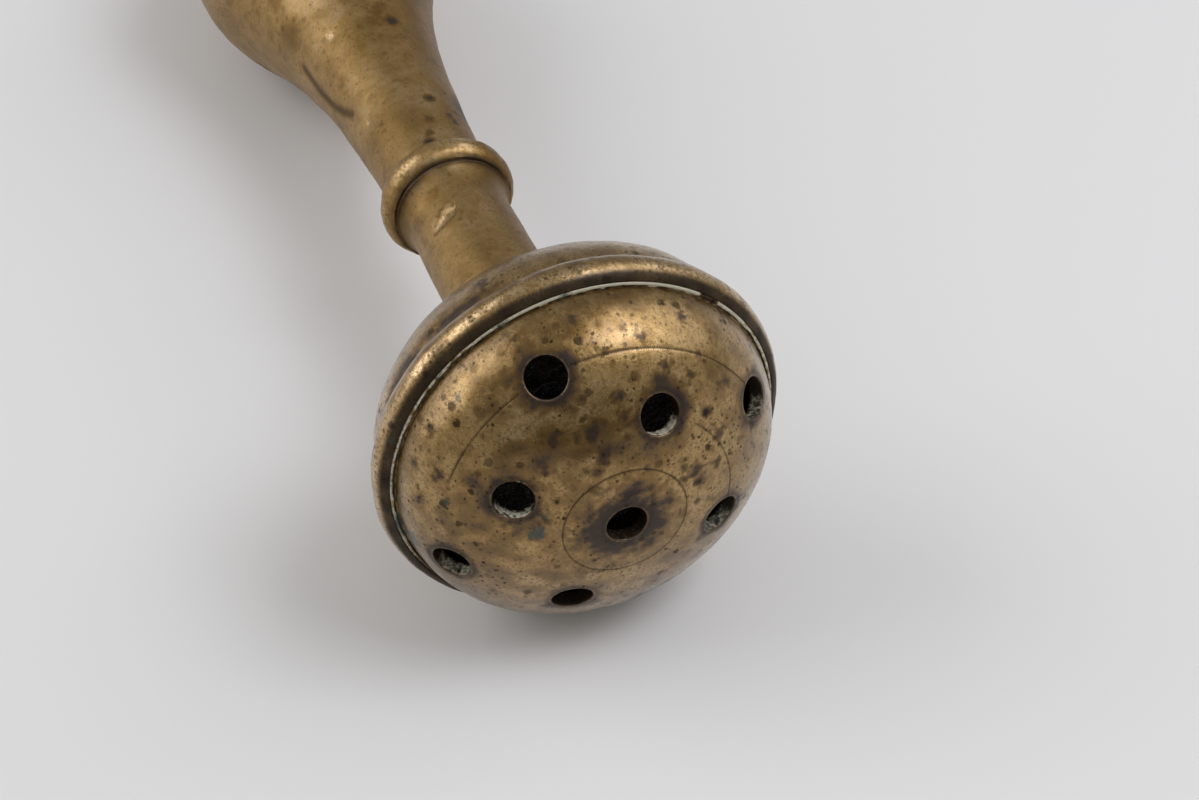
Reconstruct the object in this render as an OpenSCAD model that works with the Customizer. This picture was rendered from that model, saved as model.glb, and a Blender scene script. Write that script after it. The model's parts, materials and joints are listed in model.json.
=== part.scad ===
// Aspergillum of cast and turned brass, lying on a table.
// The pieces are turned about one axis that starts at the flat end of the finial
// and runs up through the handle, the neck and the bowl to the pierced dome.
// The finished assembly is laid down so that the bead and the bulb touch the table.

/* [Bowl] */
// Diameter over the bead round the rim
bead_d = 54; // [46:0.5:66]
// Width of the bead along the axis
bead_w = 5.2; // [4.8:0.1:7]
// How far the bead stands out from the bowl
bead_proud = 1.7; // [1:0.1:2.2]
// Depth of the bowl from the back of the bead to its seat on the neck
bowl_depth = 15; // [13:0.5:24]
// Height of the straight band of the bowl behind the bead
bowl_band = 0.8; // [0.2:0.1:2]
// Wall of the bowl
bowl_wall = 2.2; // [1.4:0.1:2.6]
// Thickness of the flat floor that the neck is bolted through
bowl_floor = 2.6; // [1.6:0.1:3.6]
// Wall left round the threaded mouth of the bowl
mouth_wall = 2.6; // [2:0.1:3.4]

/* [Dome] */
// Height of the dome above its ledge
dome_h = 15; // [10:0.5:20]
// Wall of the dome
dome_wall = 1.9; // [1.2:0.1:2.6]
// Width of the flat ledge round the foot of the dome
ledge_w = 0.5; // [0.2:0.1:1.2]
// Thickness of the flange that seats in the bead
flange_t = 1.7; // [1.2:0.1:2.2]
// Length of the threaded skirt below its seat
skirt_len = 6; // [5.5:0.1:7]
// Wall of the threaded skirt
skirt_wall = 1.9; // [1.2:0.1:2.6]

/* [Sprinkling holes] */
// Diameter of each hole
hole_d = 5.2; // [3:0.1:6]
// Distance from the foot of the dome in to the outer circle of holes
outer_inset = 3.4; // [3.2:0.1:5]
// Distance from the outer circle of holes to the inner one
circle_step = 6.6; // [6:0.1:8]
// Where the outer holes stand, in degrees from the lowest point
outer_at = [16, 112, 199.5, 286]; // [0:0.5:360]
// Where the inner holes stand, in degrees from the lowest point
inner_at = [67, 157.5, 245.5, 334]; // [0:0.5:360]
// Diameter of the circle scribed round the centre hole
centre_scribe_d = 16.1; // [8:0.1:20]
// Width of the scribed lines
scribe_w = 0.3; // [0.2:0.05:0.5]

/* [Neck] */
// Length of the neck between the handle and the bowl
neck_len = 32; // [20:0.5:50]
// Diameter of the neck at the bowl
neck_top_d = 15; // [13:0.1:18]
// Diameter of the neck at its thinnest
neck_d = 14.2; // [12.4:0.1:16]
// Diameter of the flared foot of the neck
neck_foot_d = 16.8; // [16:0.1:18]
// Height of the flare
flare_h = 4.5; // [2:0.1:8]
// Diameter of the tenon that passes through the floor of the bowl
bolt_d = 9; // [6:0.1:10]
// Thickness of the square nut inside the bowl
nut_t = 4; // [2.5:0.1:5]
// Width of the square nut across its flats
nut_w = 12; // [11:0.1:12.6]

/* [Handle] */
// Diameter over the rings at both ends of the handle
ring_d = 19.2; // [18.2:0.1:22]
// Thickness of the rings
ring_t = 5; // [4.4:0.1:7]
// Diameter of the handle just below the neck ring
shaft_d = 14.8; // [14.4:0.1:17]
// How much the shaft swells before the bulb begins
shaft_swell = 1.6; // [0:0.1:4]
// Diameter of the bulb
bulb_d = 38; // [28:0.5:46]
// Distance from the neck ring to the widest part of the bulb
shaft_len = 70.4; // [50:0.2:100]
// Distance from the widest part of the bulb to the end ring
tail_len = 30; // [22:0.5:50]
// Diameter of the waist above the end ring
tail_d = 13.6; // [12.6:0.1:16]
// Wall of the hollow handle
handle_wall = 2.4; // [1.6:0.1:4]

/* [Finial] */
// Diameter of the ball of the finial
finial_d = 20; // [16:0.5:26]
// Length of the finial outside the handle
finial_len = 22; // [20:0.5:30]
// Diameter of the flat end
end_d = 13; // [8:0.5:14]
// Diameter of the waist of the finial
finial_neck_d = 10; // [8:0.1:14]
// Thickness of the disc that seats against the handle
disc_t = 1.2; // [0.8:0.1:2]

/* [Threads] */
// Height of the screw threads
thread_h = 0.8; // [0.5:0.05:0.9]
// Radial room between a thread and the opposite wall
thread_gap = 0.35; // [0.2:0.05:0.5]
// Pitch of the thread that holds the dome
dome_pitch = 2.2; // [1.8:0.1:2.4]
// Pitch of the threads that hold the neck and the finial
stem_pitch = 2; // [1.6:0.1:2.4]
// Core diameter of the tenon that screws into the handle
tenon_d = 8.8; // [6:0.1:9]
// Length of that tenon
tenon_len = 14; // [9:0.5:20]
// Core diameter of the stud of the finial
stud_d = 7; // [5:0.1:7.4]
// Length of that stud
stud_len = 11; // [8:0.5:16]
// Share of the pitch that a thread covers at its foot
thread_foot = 0.5; // [0.4:0.01:0.54]
// Share of the pitch that a thread covers at its crest
thread_crest = 0.16; // [0.1:0.01:0.2]

/* [Seals and sponge] */
// Height of the seat that each leather washer fills
washer_t = 0.8; // [0.5:0.1:1.5]
// Height of the sponge at its side
sponge_h = 8; // [6:0.5:9]
// Height of the crown of the sponge
sponge_crown = 4; // [2:0.5:6]

/* [Fits] */
// Room round the dome in the bead and round the washers and the sponge
fit_gap = 0.3; // [0.2:0.05:0.5]
// Room round the tenon in the floor of the bowl and in its nut
bolt_gap = 0.05; // [0.02:0.01:0.1]
// Room above and below each washer in its seat
seat_gap = 0.03; // [0.02:0.01:0.06]

/* [Hidden] */
$fn = 96;

// Radii of the bowl, the dome and the threaded mouth
bowl_r = bead_d / 2 - bead_proud;
bead_rho = (pow(bead_w / 2, 2) + pow(bead_proud, 2)) / (2 * bead_proud);
bead_centre_r = bead_d / 2 - bead_rho;
rebate_r = bowl_r + fit_gap / 2;
flange_r = rebate_r - fit_gap;
dome_r = flange_r - ledge_w;
mouth_r = bowl_r - mouth_wall;
skirt_r = mouth_r - thread_gap - thread_h;
skirt_bore_r = skirt_r - skirt_wall;

// The ring is a round section cut flat where the neck or the finial seats on it
ring_rho = ring_t / 2;
ring_centre_r = ring_d / 2 - ring_rho;
seat_r = neck_foot_d / 2;
ring_face = sqrt(pow(ring_rho, 2) - pow(seat_r - ring_centre_r, 2));

// Stations along the axis, from the flat end of the finial
z_handle = finial_len + washer_t;
z_end_ring = z_handle + ring_face;
z_bulb = z_end_ring + tail_len;
z_ring = z_bulb + shaft_len;
z_ring_top = z_ring + ring_face;
z_neck = z_ring_top + washer_t;
z_bowl = z_neck + neck_len;
z_floor = z_bowl + bowl_floor;
z_bead_back = z_bowl + bowl_depth;
z_bead = z_bead_back + bead_w / 2;
z_flange = z_bead + washer_t;
z_dome = z_flange + flange_t;
z_skirt_end = z_bead - skirt_len;
z_nut_top = z_floor + nut_t;

// The bowl is half an ellipse below a straight band, and passes through the edge of its seat on the neck
z_bowl_arc = z_bead_back - bowl_band;
bowl_rise = (z_bowl_arc - z_bowl) / sqrt(1 - pow(neck_top_d / 2 / bowl_r, 2));
cavity_r = bowl_r - bowl_wall;
cavity_rise = bowl_rise - bowl_wall;
floor_angle = -asin((z_bowl_arc - z_floor) / cavity_rise);
z_mouth_end = z_skirt_end - 2 * fit_gap;
mouth_angle = -asin((z_bowl_arc - z_mouth_end) / cavity_rise);

// Hole circles on the dome
outer_r = dome_r - outer_inset;
inner_r = outer_r - circle_step;
drill_len = 4 * dome_wall;

// Sockets of the handle
tenon_socket_r = tenon_d / 2 + thread_h + thread_gap;
stud_socket_r = stud_d / 2 + thread_h + thread_gap;
socket_land = 2;

// Windings: steps in one turn, the depth a ridge is rooted in its wall, the turns over which it
// thins out, the turns of the tenon below its socket's thread and of the stud past its socket's thread
thread_steps = 32;
thread_root = 0.3;
fade_turns = 0.25;
tenon_lead = 2.5;
stud_lead = 2;

// Where each outer thread starts and how long it runs; its mate stands half a pitch higher
z_dome_thread = z_skirt_end + dome_pitch / 2;
dome_thread_len = skirt_len - dome_pitch;
z_tenon_thread = z_neck - tenon_len + stem_pitch / 2;
tenon_thread_len = tenon_len - washer_t - socket_land - stem_pitch / 2;
z_stud_thread = z_handle + socket_land;
stud_thread_len = stud_len - washer_t - socket_land - stem_pitch / 2;

// Curve pulls of the handle
shaft_pull = 0.75;
tail_pull_top = 0.5;
tail_pull_end = 0.4;
curve_steps = 28;
arc_steps = 16;

// Lie of the object: a straight line that touches both the bead and the bulb, whose outline
// is taken as an arc of the tail curve's own radius there
bulb_pull = tail_len * tail_pull_top;
bulb_rho = 1.5 * pow(bulb_pull, 2) / ((bulb_d - tail_d) / 2);
lie_a = bead_centre_r - (bulb_d / 2 - bulb_rho);
lie_b = z_bead - z_bulb;
lie_c = bulb_rho - bead_rho;
lie_angle = acos(lie_c / sqrt(pow(lie_a, 2) + pow(lie_b, 2))) - atan2(lie_b, lie_a);
lift = bead_rho + bead_centre_r * cos(lie_angle) - z_bead * sin(lie_angle);
front_x = z_dome * cos(lie_angle) + norm([dome_h * cos(lie_angle), dome_r * sin(lie_angle)]);
back_x = -end_d / 2 * sin(lie_angle);

// Points of an elliptic arc about a centre, between two angles
function arc(centre, rx, ry, from, to, n = arc_steps) =
    [for (i = [0:n]) let (a = from + (to - from) * i / n) centre + [rx * cos(a), ry * sin(a)]];

// Points of a cubic curve with two pull points
function curve(p, n = curve_steps) =
    [for (i = [0:n]) let (t = i / n, s = 1 - t)
        s * s * s * p[0] + 3 * s * s * t * p[1] + 3 * s * t * t * p[2] + t * t * t * p[3]];

// Outline of the handle from the end ring up to the neck ring, as radius and height
tail_curve = curve([
    [tail_d / 2, z_end_ring],
    [tail_d / 2, z_end_ring + tail_len * tail_pull_end],
    [bulb_d / 2, z_bulb - bulb_pull],
    [bulb_d / 2, z_bulb]
]);
shaft_curve = curve([
    [bulb_d / 2, z_bulb],
    [bulb_d / 2, z_ring - shaft_len * shaft_pull],
    [(shaft_d + shaft_swell) / 2, z_ring - shaft_len * shaft_pull],
    [shaft_d / 2, z_ring]
]);
handle_curve = concat(tail_curve, [for (i = [1:curve_steps]) shaft_curve[i]]);

// Half width of the ring's section at a given radius
function ring_half(r) = sqrt(max(0, pow(ring_rho, 2) - pow(r - ring_centre_r, 2)));

// Lay the upright assembly on the table with the head towards +X
module lay() {
    translate([-(front_x + back_x) / 2, 0, lift])
        rotate([0, 90 - lie_angle, 0])
            children();
}

// A screw thread: one ridge wound right-handed round the axis, thinning out at both ends.
// side is 1 for a thread on a stud and -1 for a thread in a socket.
module thread(wall_r, side, pitch, z_start, length) {
    n = floor(length / pitch * thread_steps);
    fade = thread_steps * fade_turns;
    base_half = pitch * thread_foot / 2;
    crest_half = pitch * thread_crest / 2;
    section = [for (i = [0:n])
        let (
            a = 360 * i / thread_steps,
            z = z_start + pitch * i / thread_steps,
            k = min(1, (i + 1) / fade, (n - i + 1) / fade),
            base_r = wall_r - side * thread_root,
            crest_r = wall_r + side * thread_h * k,
            dir = [cos(a), sin(a), 0]
        )
        [
            base_r * dir + [0, 0, z - base_half],
            crest_r * dir + [0, 0, z - crest_half],
            crest_r * dir + [0, 0, z + crest_half],
            base_r * dir + [0, 0, z + base_half]
        ]];
    points = [for (s = section, p = s) p];
    sides = [for (i = [0:n - 1], j = [0:3])
        let (a = 4 * i + j, b = 4 * i + (j + 1) % 4, c = a + 4, d = b + 4)
        each (side > 0 ? [[a, b, c], [b, d, c]] : [[a, c, b], [b, c, d]])];
    ends = side < 0
        ? [[0, 1, 2], [0, 2, 3], [4 * n, 4 * n + 2, 4 * n + 1], [4 * n, 4 * n + 3, 4 * n + 2]]
        : [[0, 2, 1], [0, 3, 2], [4 * n, 4 * n + 1, 4 * n + 2], [4 * n, 4 * n + 2, 4 * n + 3]];
    polyhedron(points, concat(sides, ends), convexity = 8);
}

// A flat ring of leather in a seat that starts at z
module washer(inner_r, outer_r, z) {
    translate([0, 0, z + seat_gap])
        difference() {
            cylinder(h = washer_t - 2 * seat_gap, r = outer_r);
            translate([0, 0, -washer_t])
                cylinder(h = 3 * washer_t, r = inner_r);
        }
}

// A hole drilled square to the dome's surface at a radius and an angle
module drill(r, angle) {
    height = dome_h * sqrt(1 - pow(r / dome_r, 2));
    lean = atan2(r / pow(dome_r, 2), height / pow(dome_h, 2));
    rotate([0, 0, angle])
        translate([r, 0, z_dome + height])
            rotate([0, lean, 0])
                cylinder(h = drill_len, r = hole_d / 2, center = true);
}

// A fine line scribed round the dome with compasses
module scribe(r) {
    height = dome_h * sqrt(1 - pow(r / dome_r, 2));
    rotate_extrude()
        translate([r, z_dome + height])
            rotate(45)
                square(scribe_w / sqrt(2), center = true);
}

module sieve_dome() {
    color("goldenrod")
        lay() {
            difference() {
                union() {
                    rotate_extrude()
                        polygon(concat(
                            [[skirt_bore_r, z_skirt_end], [skirt_r, z_skirt_end], [skirt_r, z_flange],
                             [flange_r, z_flange], [flange_r, z_dome]],
                            arc([0, z_dome], dome_r, dome_h, 0, 90, 2 * curve_steps),
                            arc([0, z_dome], dome_r - dome_wall, dome_h - dome_wall, 90, 0, curve_steps),
                            [[skirt_bore_r, z_dome]]
                        ));
                    thread(skirt_r, 1, dome_pitch, z_dome_thread, dome_thread_len);
                }
                drill(0, 0);
                for (a = inner_at) drill(inner_r, a);
                for (a = outer_at) drill(outer_r, a);
                scribe(centre_scribe_d / 2);
                scribe(inner_r);
                scribe(outer_r);
            }
        }
}

module dome_washer() {
    color("saddlebrown")
        lay() washer(mouth_r + fit_gap / 2, flange_r - fit_gap / 2, z_bead);
}

module head_bowl() {
    color("darkgoldenrod")
        lay() {
            rotate_extrude()
                polygon(concat(
                    [[bolt_d / 2 + bolt_gap, z_bowl]],
                    arc([0, z_bowl_arc], bowl_r, bowl_rise,
                        -asin((z_bowl_arc - z_bowl) / bowl_rise), 0, curve_steps),
                    arc([bead_centre_r, z_bead], bead_rho, bead_rho,
                        -asin(bead_w / 2 / bead_rho),
                        acos((rebate_r - bead_centre_r) / bead_rho), arc_steps),
                    [[rebate_r, z_bead], [mouth_r, z_bead], [mouth_r, z_mouth_end]],
                    arc([0, z_bowl_arc], cavity_r, cavity_rise, mouth_angle, floor_angle, arc_steps),
                    [[bolt_d / 2 + bolt_gap, z_floor]]
                ));
            thread(mouth_r, -1, dome_pitch, z_dome_thread + dome_pitch / 2, dome_thread_len - dome_pitch / 2);
        }
}

module sponge() {
    bottom = z_nut_top + 2 * fit_gap;
    side_r = skirt_bore_r - fit_gap;
    foot_r = cavity_r * sqrt(1 - pow((z_bowl_arc - bottom) / cavity_rise, 2)) - 2 * fit_gap;
    color("burlywood")
        lay()
            rotate_extrude()
                polygon(concat(
                    [[0, bottom], [min(foot_r, side_r), bottom], [side_r, bottom + sponge_h / 3]],
                    arc([0, bottom + sponge_h], side_r, sponge_crown, 0, 90, curve_steps)
                ));
}

module neck_nut() {
    color("peru")
        lay()
            translate([0, 0, z_floor])
                difference() {
                    translate([-nut_w / 2, -nut_w / 2, 0])
                        cube([nut_w, nut_w, nut_t]);
                    translate([0, 0, -nut_t])
                        cylinder(h = 3 * nut_t, r = bolt_d / 2 + bolt_gap);
                }
}

module neck() {
    color("goldenrod")
        lay() {
            rotate_extrude()
                polygon(concat(
                    [[0, z_neck - tenon_len], [tenon_d / 2, z_neck - tenon_len], [tenon_d / 2, z_neck]],
                    arc([seat_r, z_neck + flare_h], seat_r - neck_d / 2, flare_h, 270, 180),
                    [[neck_top_d / 2, z_bowl], [bolt_d / 2, z_bowl], [bolt_d / 2, z_nut_top + fit_gap],
                     [0, z_nut_top + fit_gap]]
                ));
            thread(tenon_d / 2, 1, stem_pitch, z_tenon_thread, tenon_thread_len);
        }
}

module neck_washer() {
    color("saddlebrown")
        lay() washer(tenon_socket_r, seat_r - fit_gap, z_ring_top);
}

module handle() {
    // Points of the outline that lie clear of the two rings
    outside = [for (p = handle_curve)
        if (p[1] > z_end_ring + ring_half(p[0]) && p[1] < z_ring - ring_half(p[0])) p];
    // The hollow follows the outline and is never narrower than the socket at that end
    inside = [for (i = [len(outside) - 1:-1:0])
        let (p = outside[i], least = p[1] > z_bulb ? tenon_socket_r : stud_socket_r)
        [max(p[0] - handle_wall, least), p[1]]];
    color("goldenrod")
        lay() {
            rotate_extrude()
                polygon(concat(
                    [[stud_socket_r, z_handle]],
                    arc([ring_centre_r, z_end_ring], ring_rho, ring_rho, -asin(ring_face / ring_rho), 90),
                    outside,
                    arc([ring_centre_r, z_ring], ring_rho, ring_rho, -90, asin(ring_face / ring_rho)),
                    [[tenon_socket_r, z_ring_top]],
                    inside
                ));
            thread(tenon_socket_r, -1, stem_pitch, z_tenon_thread + tenon_lead * stem_pitch,
                tenon_thread_len - tenon_lead * stem_pitch);
            thread(stud_socket_r, -1, stem_pitch, z_stud_thread + stem_pitch / 2,
                stud_thread_len - stud_lead * stem_pitch);
        }
}

module finial_washer() {
    color("saddlebrown")
        lay() washer(stud_socket_r, seat_r - fit_gap, finial_len);
}

module finial() {
    ball_z = sqrt(pow(finial_d / 2, 2) - pow(end_d / 2, 2));
    neck_angle = acos(finial_neck_d / finial_d);
    cove_z = ball_z + finial_d / 2 * sin(neck_angle);
    color("goldenrod")
        lay() {
            rotate_extrude()
                polygon(concat(
                    [[0, 0]],
                    arc([0, ball_z], finial_d / 2, finial_d / 2, -acos(end_d / finial_d), neck_angle,
                        curve_steps),
                    arc([seat_r, cove_z], seat_r - finial_neck_d / 2, finial_len - disc_t - cove_z, 180, 90),
                    [[seat_r, finial_len], [stud_d / 2, finial_len], [stud_d / 2, finial_len + stud_len],
                     [0, finial_len + stud_len]]
                ));
            thread(stud_d / 2, 1, stem_pitch, z_stud_thread, stud_thread_len);
        }
}

sieve_dome();
dome_washer();
head_bowl();
sponge();
neck_nut();
neck();
neck_washer();
handle();
finial_washer();
finial();
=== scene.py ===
"""Looks of an old brass aspergillum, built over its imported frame.

The file is laid out as an add-on and run as a script. Sizes are in metres. Every piece is turned about
one axis, which starts at the flat end of the finial and runs up through the handle, the neck and the
bowl to the pierced dome. Heights are measured along that axis, and angles round it from the lowest
point of the lying object towards +Y.
"""

import json
import math
from types import SimpleNamespace

import bmesh
import bpy
import numpy as np
from bpy.props import FloatProperty, FloatVectorProperty, PointerProperty
from bpy.types import Operator, Panel, PropertyGroup
from mathutils import Matrix, Vector
from mathutils.geometry import delaunay_2d_cdt


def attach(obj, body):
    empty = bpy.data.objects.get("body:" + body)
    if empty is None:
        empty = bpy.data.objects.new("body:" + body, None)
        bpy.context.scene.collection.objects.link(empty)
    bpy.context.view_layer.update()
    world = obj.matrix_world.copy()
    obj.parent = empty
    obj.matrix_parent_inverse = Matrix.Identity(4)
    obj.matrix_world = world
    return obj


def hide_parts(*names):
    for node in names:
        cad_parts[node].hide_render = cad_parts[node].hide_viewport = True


bl_info = {
    "name": "Aspergillum",
    "version": (1, 0, 0),
    "blender": (4, 5, 0),
    "location": "3D View > Sidebar > Aspergillum",
    "description": "Builds an old brass aspergillum over its packed frame",
    "category": "Object",
}

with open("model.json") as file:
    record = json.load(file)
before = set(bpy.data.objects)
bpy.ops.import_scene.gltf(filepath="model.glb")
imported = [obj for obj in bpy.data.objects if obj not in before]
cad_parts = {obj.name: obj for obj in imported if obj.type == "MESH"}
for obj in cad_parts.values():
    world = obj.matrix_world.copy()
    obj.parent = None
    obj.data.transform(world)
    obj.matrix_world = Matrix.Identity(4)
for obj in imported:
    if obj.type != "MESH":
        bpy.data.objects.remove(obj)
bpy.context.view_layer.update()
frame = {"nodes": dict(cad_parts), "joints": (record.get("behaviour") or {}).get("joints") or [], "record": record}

MM = 0.001
TURN = 2 * math.pi
# Points closer than this are taken as one, and edges that bend by more than this stay sharp
WELD = 1e-6
SHARP = math.radians(38)

# The channels of a piece's weathering. Grime and stain also carry painted shade, and wear also carries painted
# highlights
GRIME_AND_SHADE, WEAR_AND_GLINT, DEPOSIT, STAIN_AND_SHADE, GREEN = range(5)
CHANNELS = 5
# How many columns of points go round each turned piece
COLUMNS = {"dome": 300, "bowl": 420, "neck": 220, "handle": 240, "finial": 200, "washer": 160, "sponge": 260}


def length(name, mm, description):
    """A length property, with its default given in millimetres."""
    return FloatProperty(
        name=name,
        description=description,
        default=mm * MM,
        min=0,
        precision=5,
        unit="LENGTH",
        subtype="DISTANCE",
    )


def share(name, value, description):
    """A property from 0 to 1."""
    return FloatProperty(name=name, description=description, default=value, min=0, max=1, subtype="FACTOR")


def tint(name, rgb, description):
    """A colour property."""
    return FloatVectorProperty(
        name=name, description=description, default=rgb, size=3, min=0, max=1, subtype="COLOR"
    )


def bearing(name, degrees, description):
    """An angle property, with its default given in degrees."""
    return FloatProperty(
        name=name, description=description, default=math.radians(degrees), unit="ROTATION", subtype="ANGLE"
    )


def bearings(name, degrees, description):
    """Four angles, with their defaults given in degrees."""
    angles = [math.radians(a) for a in degrees]
    return FloatVectorProperty(name=name, description=description, default=angles, size=4, unit="ROTATION")


def pixels(name, value, description):
    """A place in the picture, in pixels."""
    return FloatProperty(name=name, description=description, default=value, subtype="PIXEL")


class BowlSizes(PropertyGroup):
    """Sizes of the bowl behind the dome"""

    bead_d: length("Bead diameter", 54, "Diameter over the bead round the rim")
    bead_w: length("Bead width", 5.2, "Width of the bead along the axis")
    bead_proud: length("Bead proud", 1.7, "How far the bead stands out from the bowl")
    bowl_depth: length("Depth", 15, "Depth from the back of the bead to the seat on the neck")
    bowl_band: length("Band", 0.8, "Height of the straight band behind the bead")
    bowl_wall: length("Wall", 2.2, "Wall of the bowl")
    bowl_floor: length("Floor", 2.6, "Thickness of the floor that the neck is bolted through")
    mouth_wall: length("Mouth wall", 2.6, "Wall left round the threaded mouth")


class DomeSizes(PropertyGroup):
    """Sizes of the pierced dome"""

    dome_h: length("Height", 15, "Height of the dome above its ledge")
    dome_wall: length("Wall", 1.9, "Wall of the dome")
    ledge_w: length("Ledge", 0.5, "Width of the flat ledge round the foot of the dome")
    flange_t: length("Flange", 1.7, "Thickness of the flange that seats in the bead")
    skirt_len: length("Skirt length", 6, "Length of the threaded skirt below its seat")
    skirt_wall: length("Skirt wall", 1.9, "Wall of the threaded skirt")
    hole_d: length("Hole diameter", 5.2, "Diameter of each sprinkling hole")
    outer_inset: length("Outer circle", 3.4, "Distance from the foot of the dome in to the outer holes")
    circle_step: length("Circle step", 6.6, "Distance from the outer circle of holes to the inner one")
    outer_at: bearings("Outer holes", (16, 112, 199.5, 286), "Where the outer holes stand")
    inner_at: bearings("Inner holes", (67, 157.5, 245.5, 334), "Where the inner holes stand")
    centre_scribe_d: length("Scribed circle", 16.1, "Diameter of the circle scribed round the centre hole")
    scribe_w: length("Scribed line", 0.3, "Width of the scribed lines")
    rim_round: length("Rim wear", 0.22, "How far the rims of the holes are worn round")
    seam_fill: length("Seam deposit", 0.23, "How far the dry deposit reaches into the gap round the ledge")


class NeckSizes(PropertyGroup):
    """Sizes of the neck"""

    neck_len: length("Length", 32, "Length of the neck between the handle and the bowl")
    neck_top_d: length("Top diameter", 15, "Diameter of the neck at the bowl")
    neck_d: length("Diameter", 14.2, "Diameter of the neck at its thinnest")
    neck_foot_d: length("Foot diameter", 16.8, "Diameter of the flared foot")
    flare_h: length("Flare", 4.5, "Height of the flare")
    bolt_d: length("Bolt diameter", 9, "Diameter of the tenon through the floor of the bowl")
    nut_t: length("Nut", 4, "Thickness of the square nut inside the bowl")


class HandleSizes(PropertyGroup):
    """Sizes of the handle"""

    ring_d: length("Ring diameter", 19.2, "Diameter over the rings at both ends")
    ring_t: length("Ring thickness", 5, "Thickness of the rings")
    shaft_d: length("Shaft diameter", 14.8, "Diameter just below the neck ring")
    shaft_swell: length("Shaft swell", 1.6, "How much the shaft swells before the bulb begins")
    bulb_d: length("Bulb diameter", 38, "Diameter of the bulb")
    shaft_len: length("Shaft length", 70.4, "Distance from the neck ring to the widest part of the bulb")
    tail_len: length("Tail length", 30, "Distance from the widest part of the bulb to the end ring")
    tail_d: length("Tail diameter", 13.6, "Diameter of the waist above the end ring")
    handle_wall: length("Wall", 2.4, "Wall of the hollow handle")


class FinialSizes(PropertyGroup):
    """Sizes of the finial"""

    finial_d: length("Ball diameter", 20, "Diameter of the ball")
    finial_len: length("Length", 22, "Length of the finial outside the handle")
    end_d: length("End diameter", 13, "Diameter of the flat end")
    finial_neck_d: length("Waist diameter", 10, "Diameter of the waist")
    disc_t: length("Disc", 1.2, "Thickness of the disc that seats against the handle")


class ThreadSizes(PropertyGroup):
    """Sizes of the screw threads and fits"""

    thread_h: length("Height", 0.8, "Height of the threads")
    thread_gap: length("Gap", 0.35, "Radial room between a thread and the opposite wall")
    dome_pitch: length("Dome pitch", 2.2, "Pitch of the thread that holds the dome")
    stem_pitch: length("Stem pitch", 2, "Pitch of the threads that hold the neck and the finial")
    thread_foot: share("Foot", 0.5, "Share of the pitch that a thread covers at its foot")
    thread_crest: share("Crest", 0.16, "Share of the pitch that a thread covers at its crest")
    tenon_d: length("Tenon diameter", 8.8, "Core diameter of the tenon that screws into the handle")
    tenon_len: length("Tenon length", 14, "Length of that tenon")
    stud_d: length("Stud diameter", 7, "Core diameter of the stud of the finial")
    stud_len: length("Stud length", 11, "Length of that stud")
    socket_land: length("Land", 2, "Plain stretch between a seat and its thread")
    fit_gap: length("Fit", 0.3, "Room round the dome, the washers and the sponge")
    bolt_gap: length("Bolt fit", 0.05, "Room round the tenon in the floor of the bowl")


class SoftSizes(PropertyGroup):
    """Sizes of the washers and the sponge"""

    washer_t: length("Washer seat", 0.8, "Height of the seat that each leather washer fills")
    seat_gap: length("Washer room", 0.03, "Room above and below each washer")
    sponge_h: length("Sponge height", 8, "Height of the sponge at its side")
    sponge_crown: length("Sponge crown", 4, "Height of the crown of the sponge")


class Finishes(PropertyGroup):
    """Colours of the finishes"""

    # Worn brass also stands in for painted highlights: on the bead's crest, and as glints in the handle's small
    # dents
    gold: tint("Worn brass", (0.60, 0.425, 0.228), "Where hands have kept the metal bright")
    olive: tint("Old brass", (0.44, 0.282, 0.102), "The general tone of the metal")
    # Brown brass also carries painted shade: the dome's shade band, part of its lower side, and the flanks of neck
    # and handle that face away from the lights
    brown: tint("Brown brass", (0.19, 0.103, 0.024), "Browned patches")
    oxide: tint("Grey oxide", (0.050, 0.037, 0.031), "Grey-brown tarnish round the holes")
    spot: tint("Spots", (0.030, 0.020, 0.012), "Dark brown spots and pits")
    # Grime also carries painted shade: on the bead's inner slope, in the gaps beside the dome, in the handle's
    # crease and down the holes
    grime: tint("Grime", (0.016, 0.011, 0.008), "Dirt in the joints and scribed lines")
    verdigris: tint("Verdigris", (0.034, 0.053, 0.042), "Blue-green spots")
    scale: tint("Scale", (0.68, 0.635, 0.48), "Pale dry deposit in the seam")
    leather: tint("Leather", (0.055, 0.028, 0.016), "Oiled washer leather")
    sponge: tint("Sponge", (0.06, 0.038, 0.018), "Damp natural sponge")


class Studio(PropertyGroup):
    """Camera, lights and floor"""

    view_from: bearing("View bearing", -20.58, "Bearing of the camera round the object, from +X towards +Y")
    view_height: bearing("View height", 45.08, "Height of the camera above the table, as an angle")
    view_distance: length("View distance", 336.46, "Distance from the camera to the foot of the dome")
    lens: FloatProperty(
        name="Lens",
        description="Focal length in millimetres on a 36 mm wide frame",
        default=80.86,
        unit="CAMERA",
    )
    aim_x: pixels("Aim across", 584.5, "Pixel column where the middle of the dome's foot appears")
    aim_y: pixels("Aim down", 446.8, "Pixel row where the middle of the dome's foot appears")
    floor: tint("Floor", (0.80, 0.785, 0.755), "Colour of the floor")


class AspergillumSettings(PropertyGroup):
    """All that can be set"""

    bowl: PointerProperty(type=BowlSizes)
    dome: PointerProperty(type=DomeSizes)
    neck: PointerProperty(type=NeckSizes)
    handle: PointerProperty(type=HandleSizes)
    finial: PointerProperty(type=FinialSizes)
    threads: PointerProperty(type=ThreadSizes)
    soft: PointerProperty(type=SoftSizes)
    finishes: PointerProperty(type=Finishes)
    studio: PointerProperty(type=Studio)


# The size of the photograph in pixels, and the width of the camera's frame in mm
PICTURE = (1199, 800)
SENSOR = 36.0
# The tint of the light on the floor, from the lights and the grey room together
LIGHT_TINT = (1.0, 1.02, 1.07)

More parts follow.
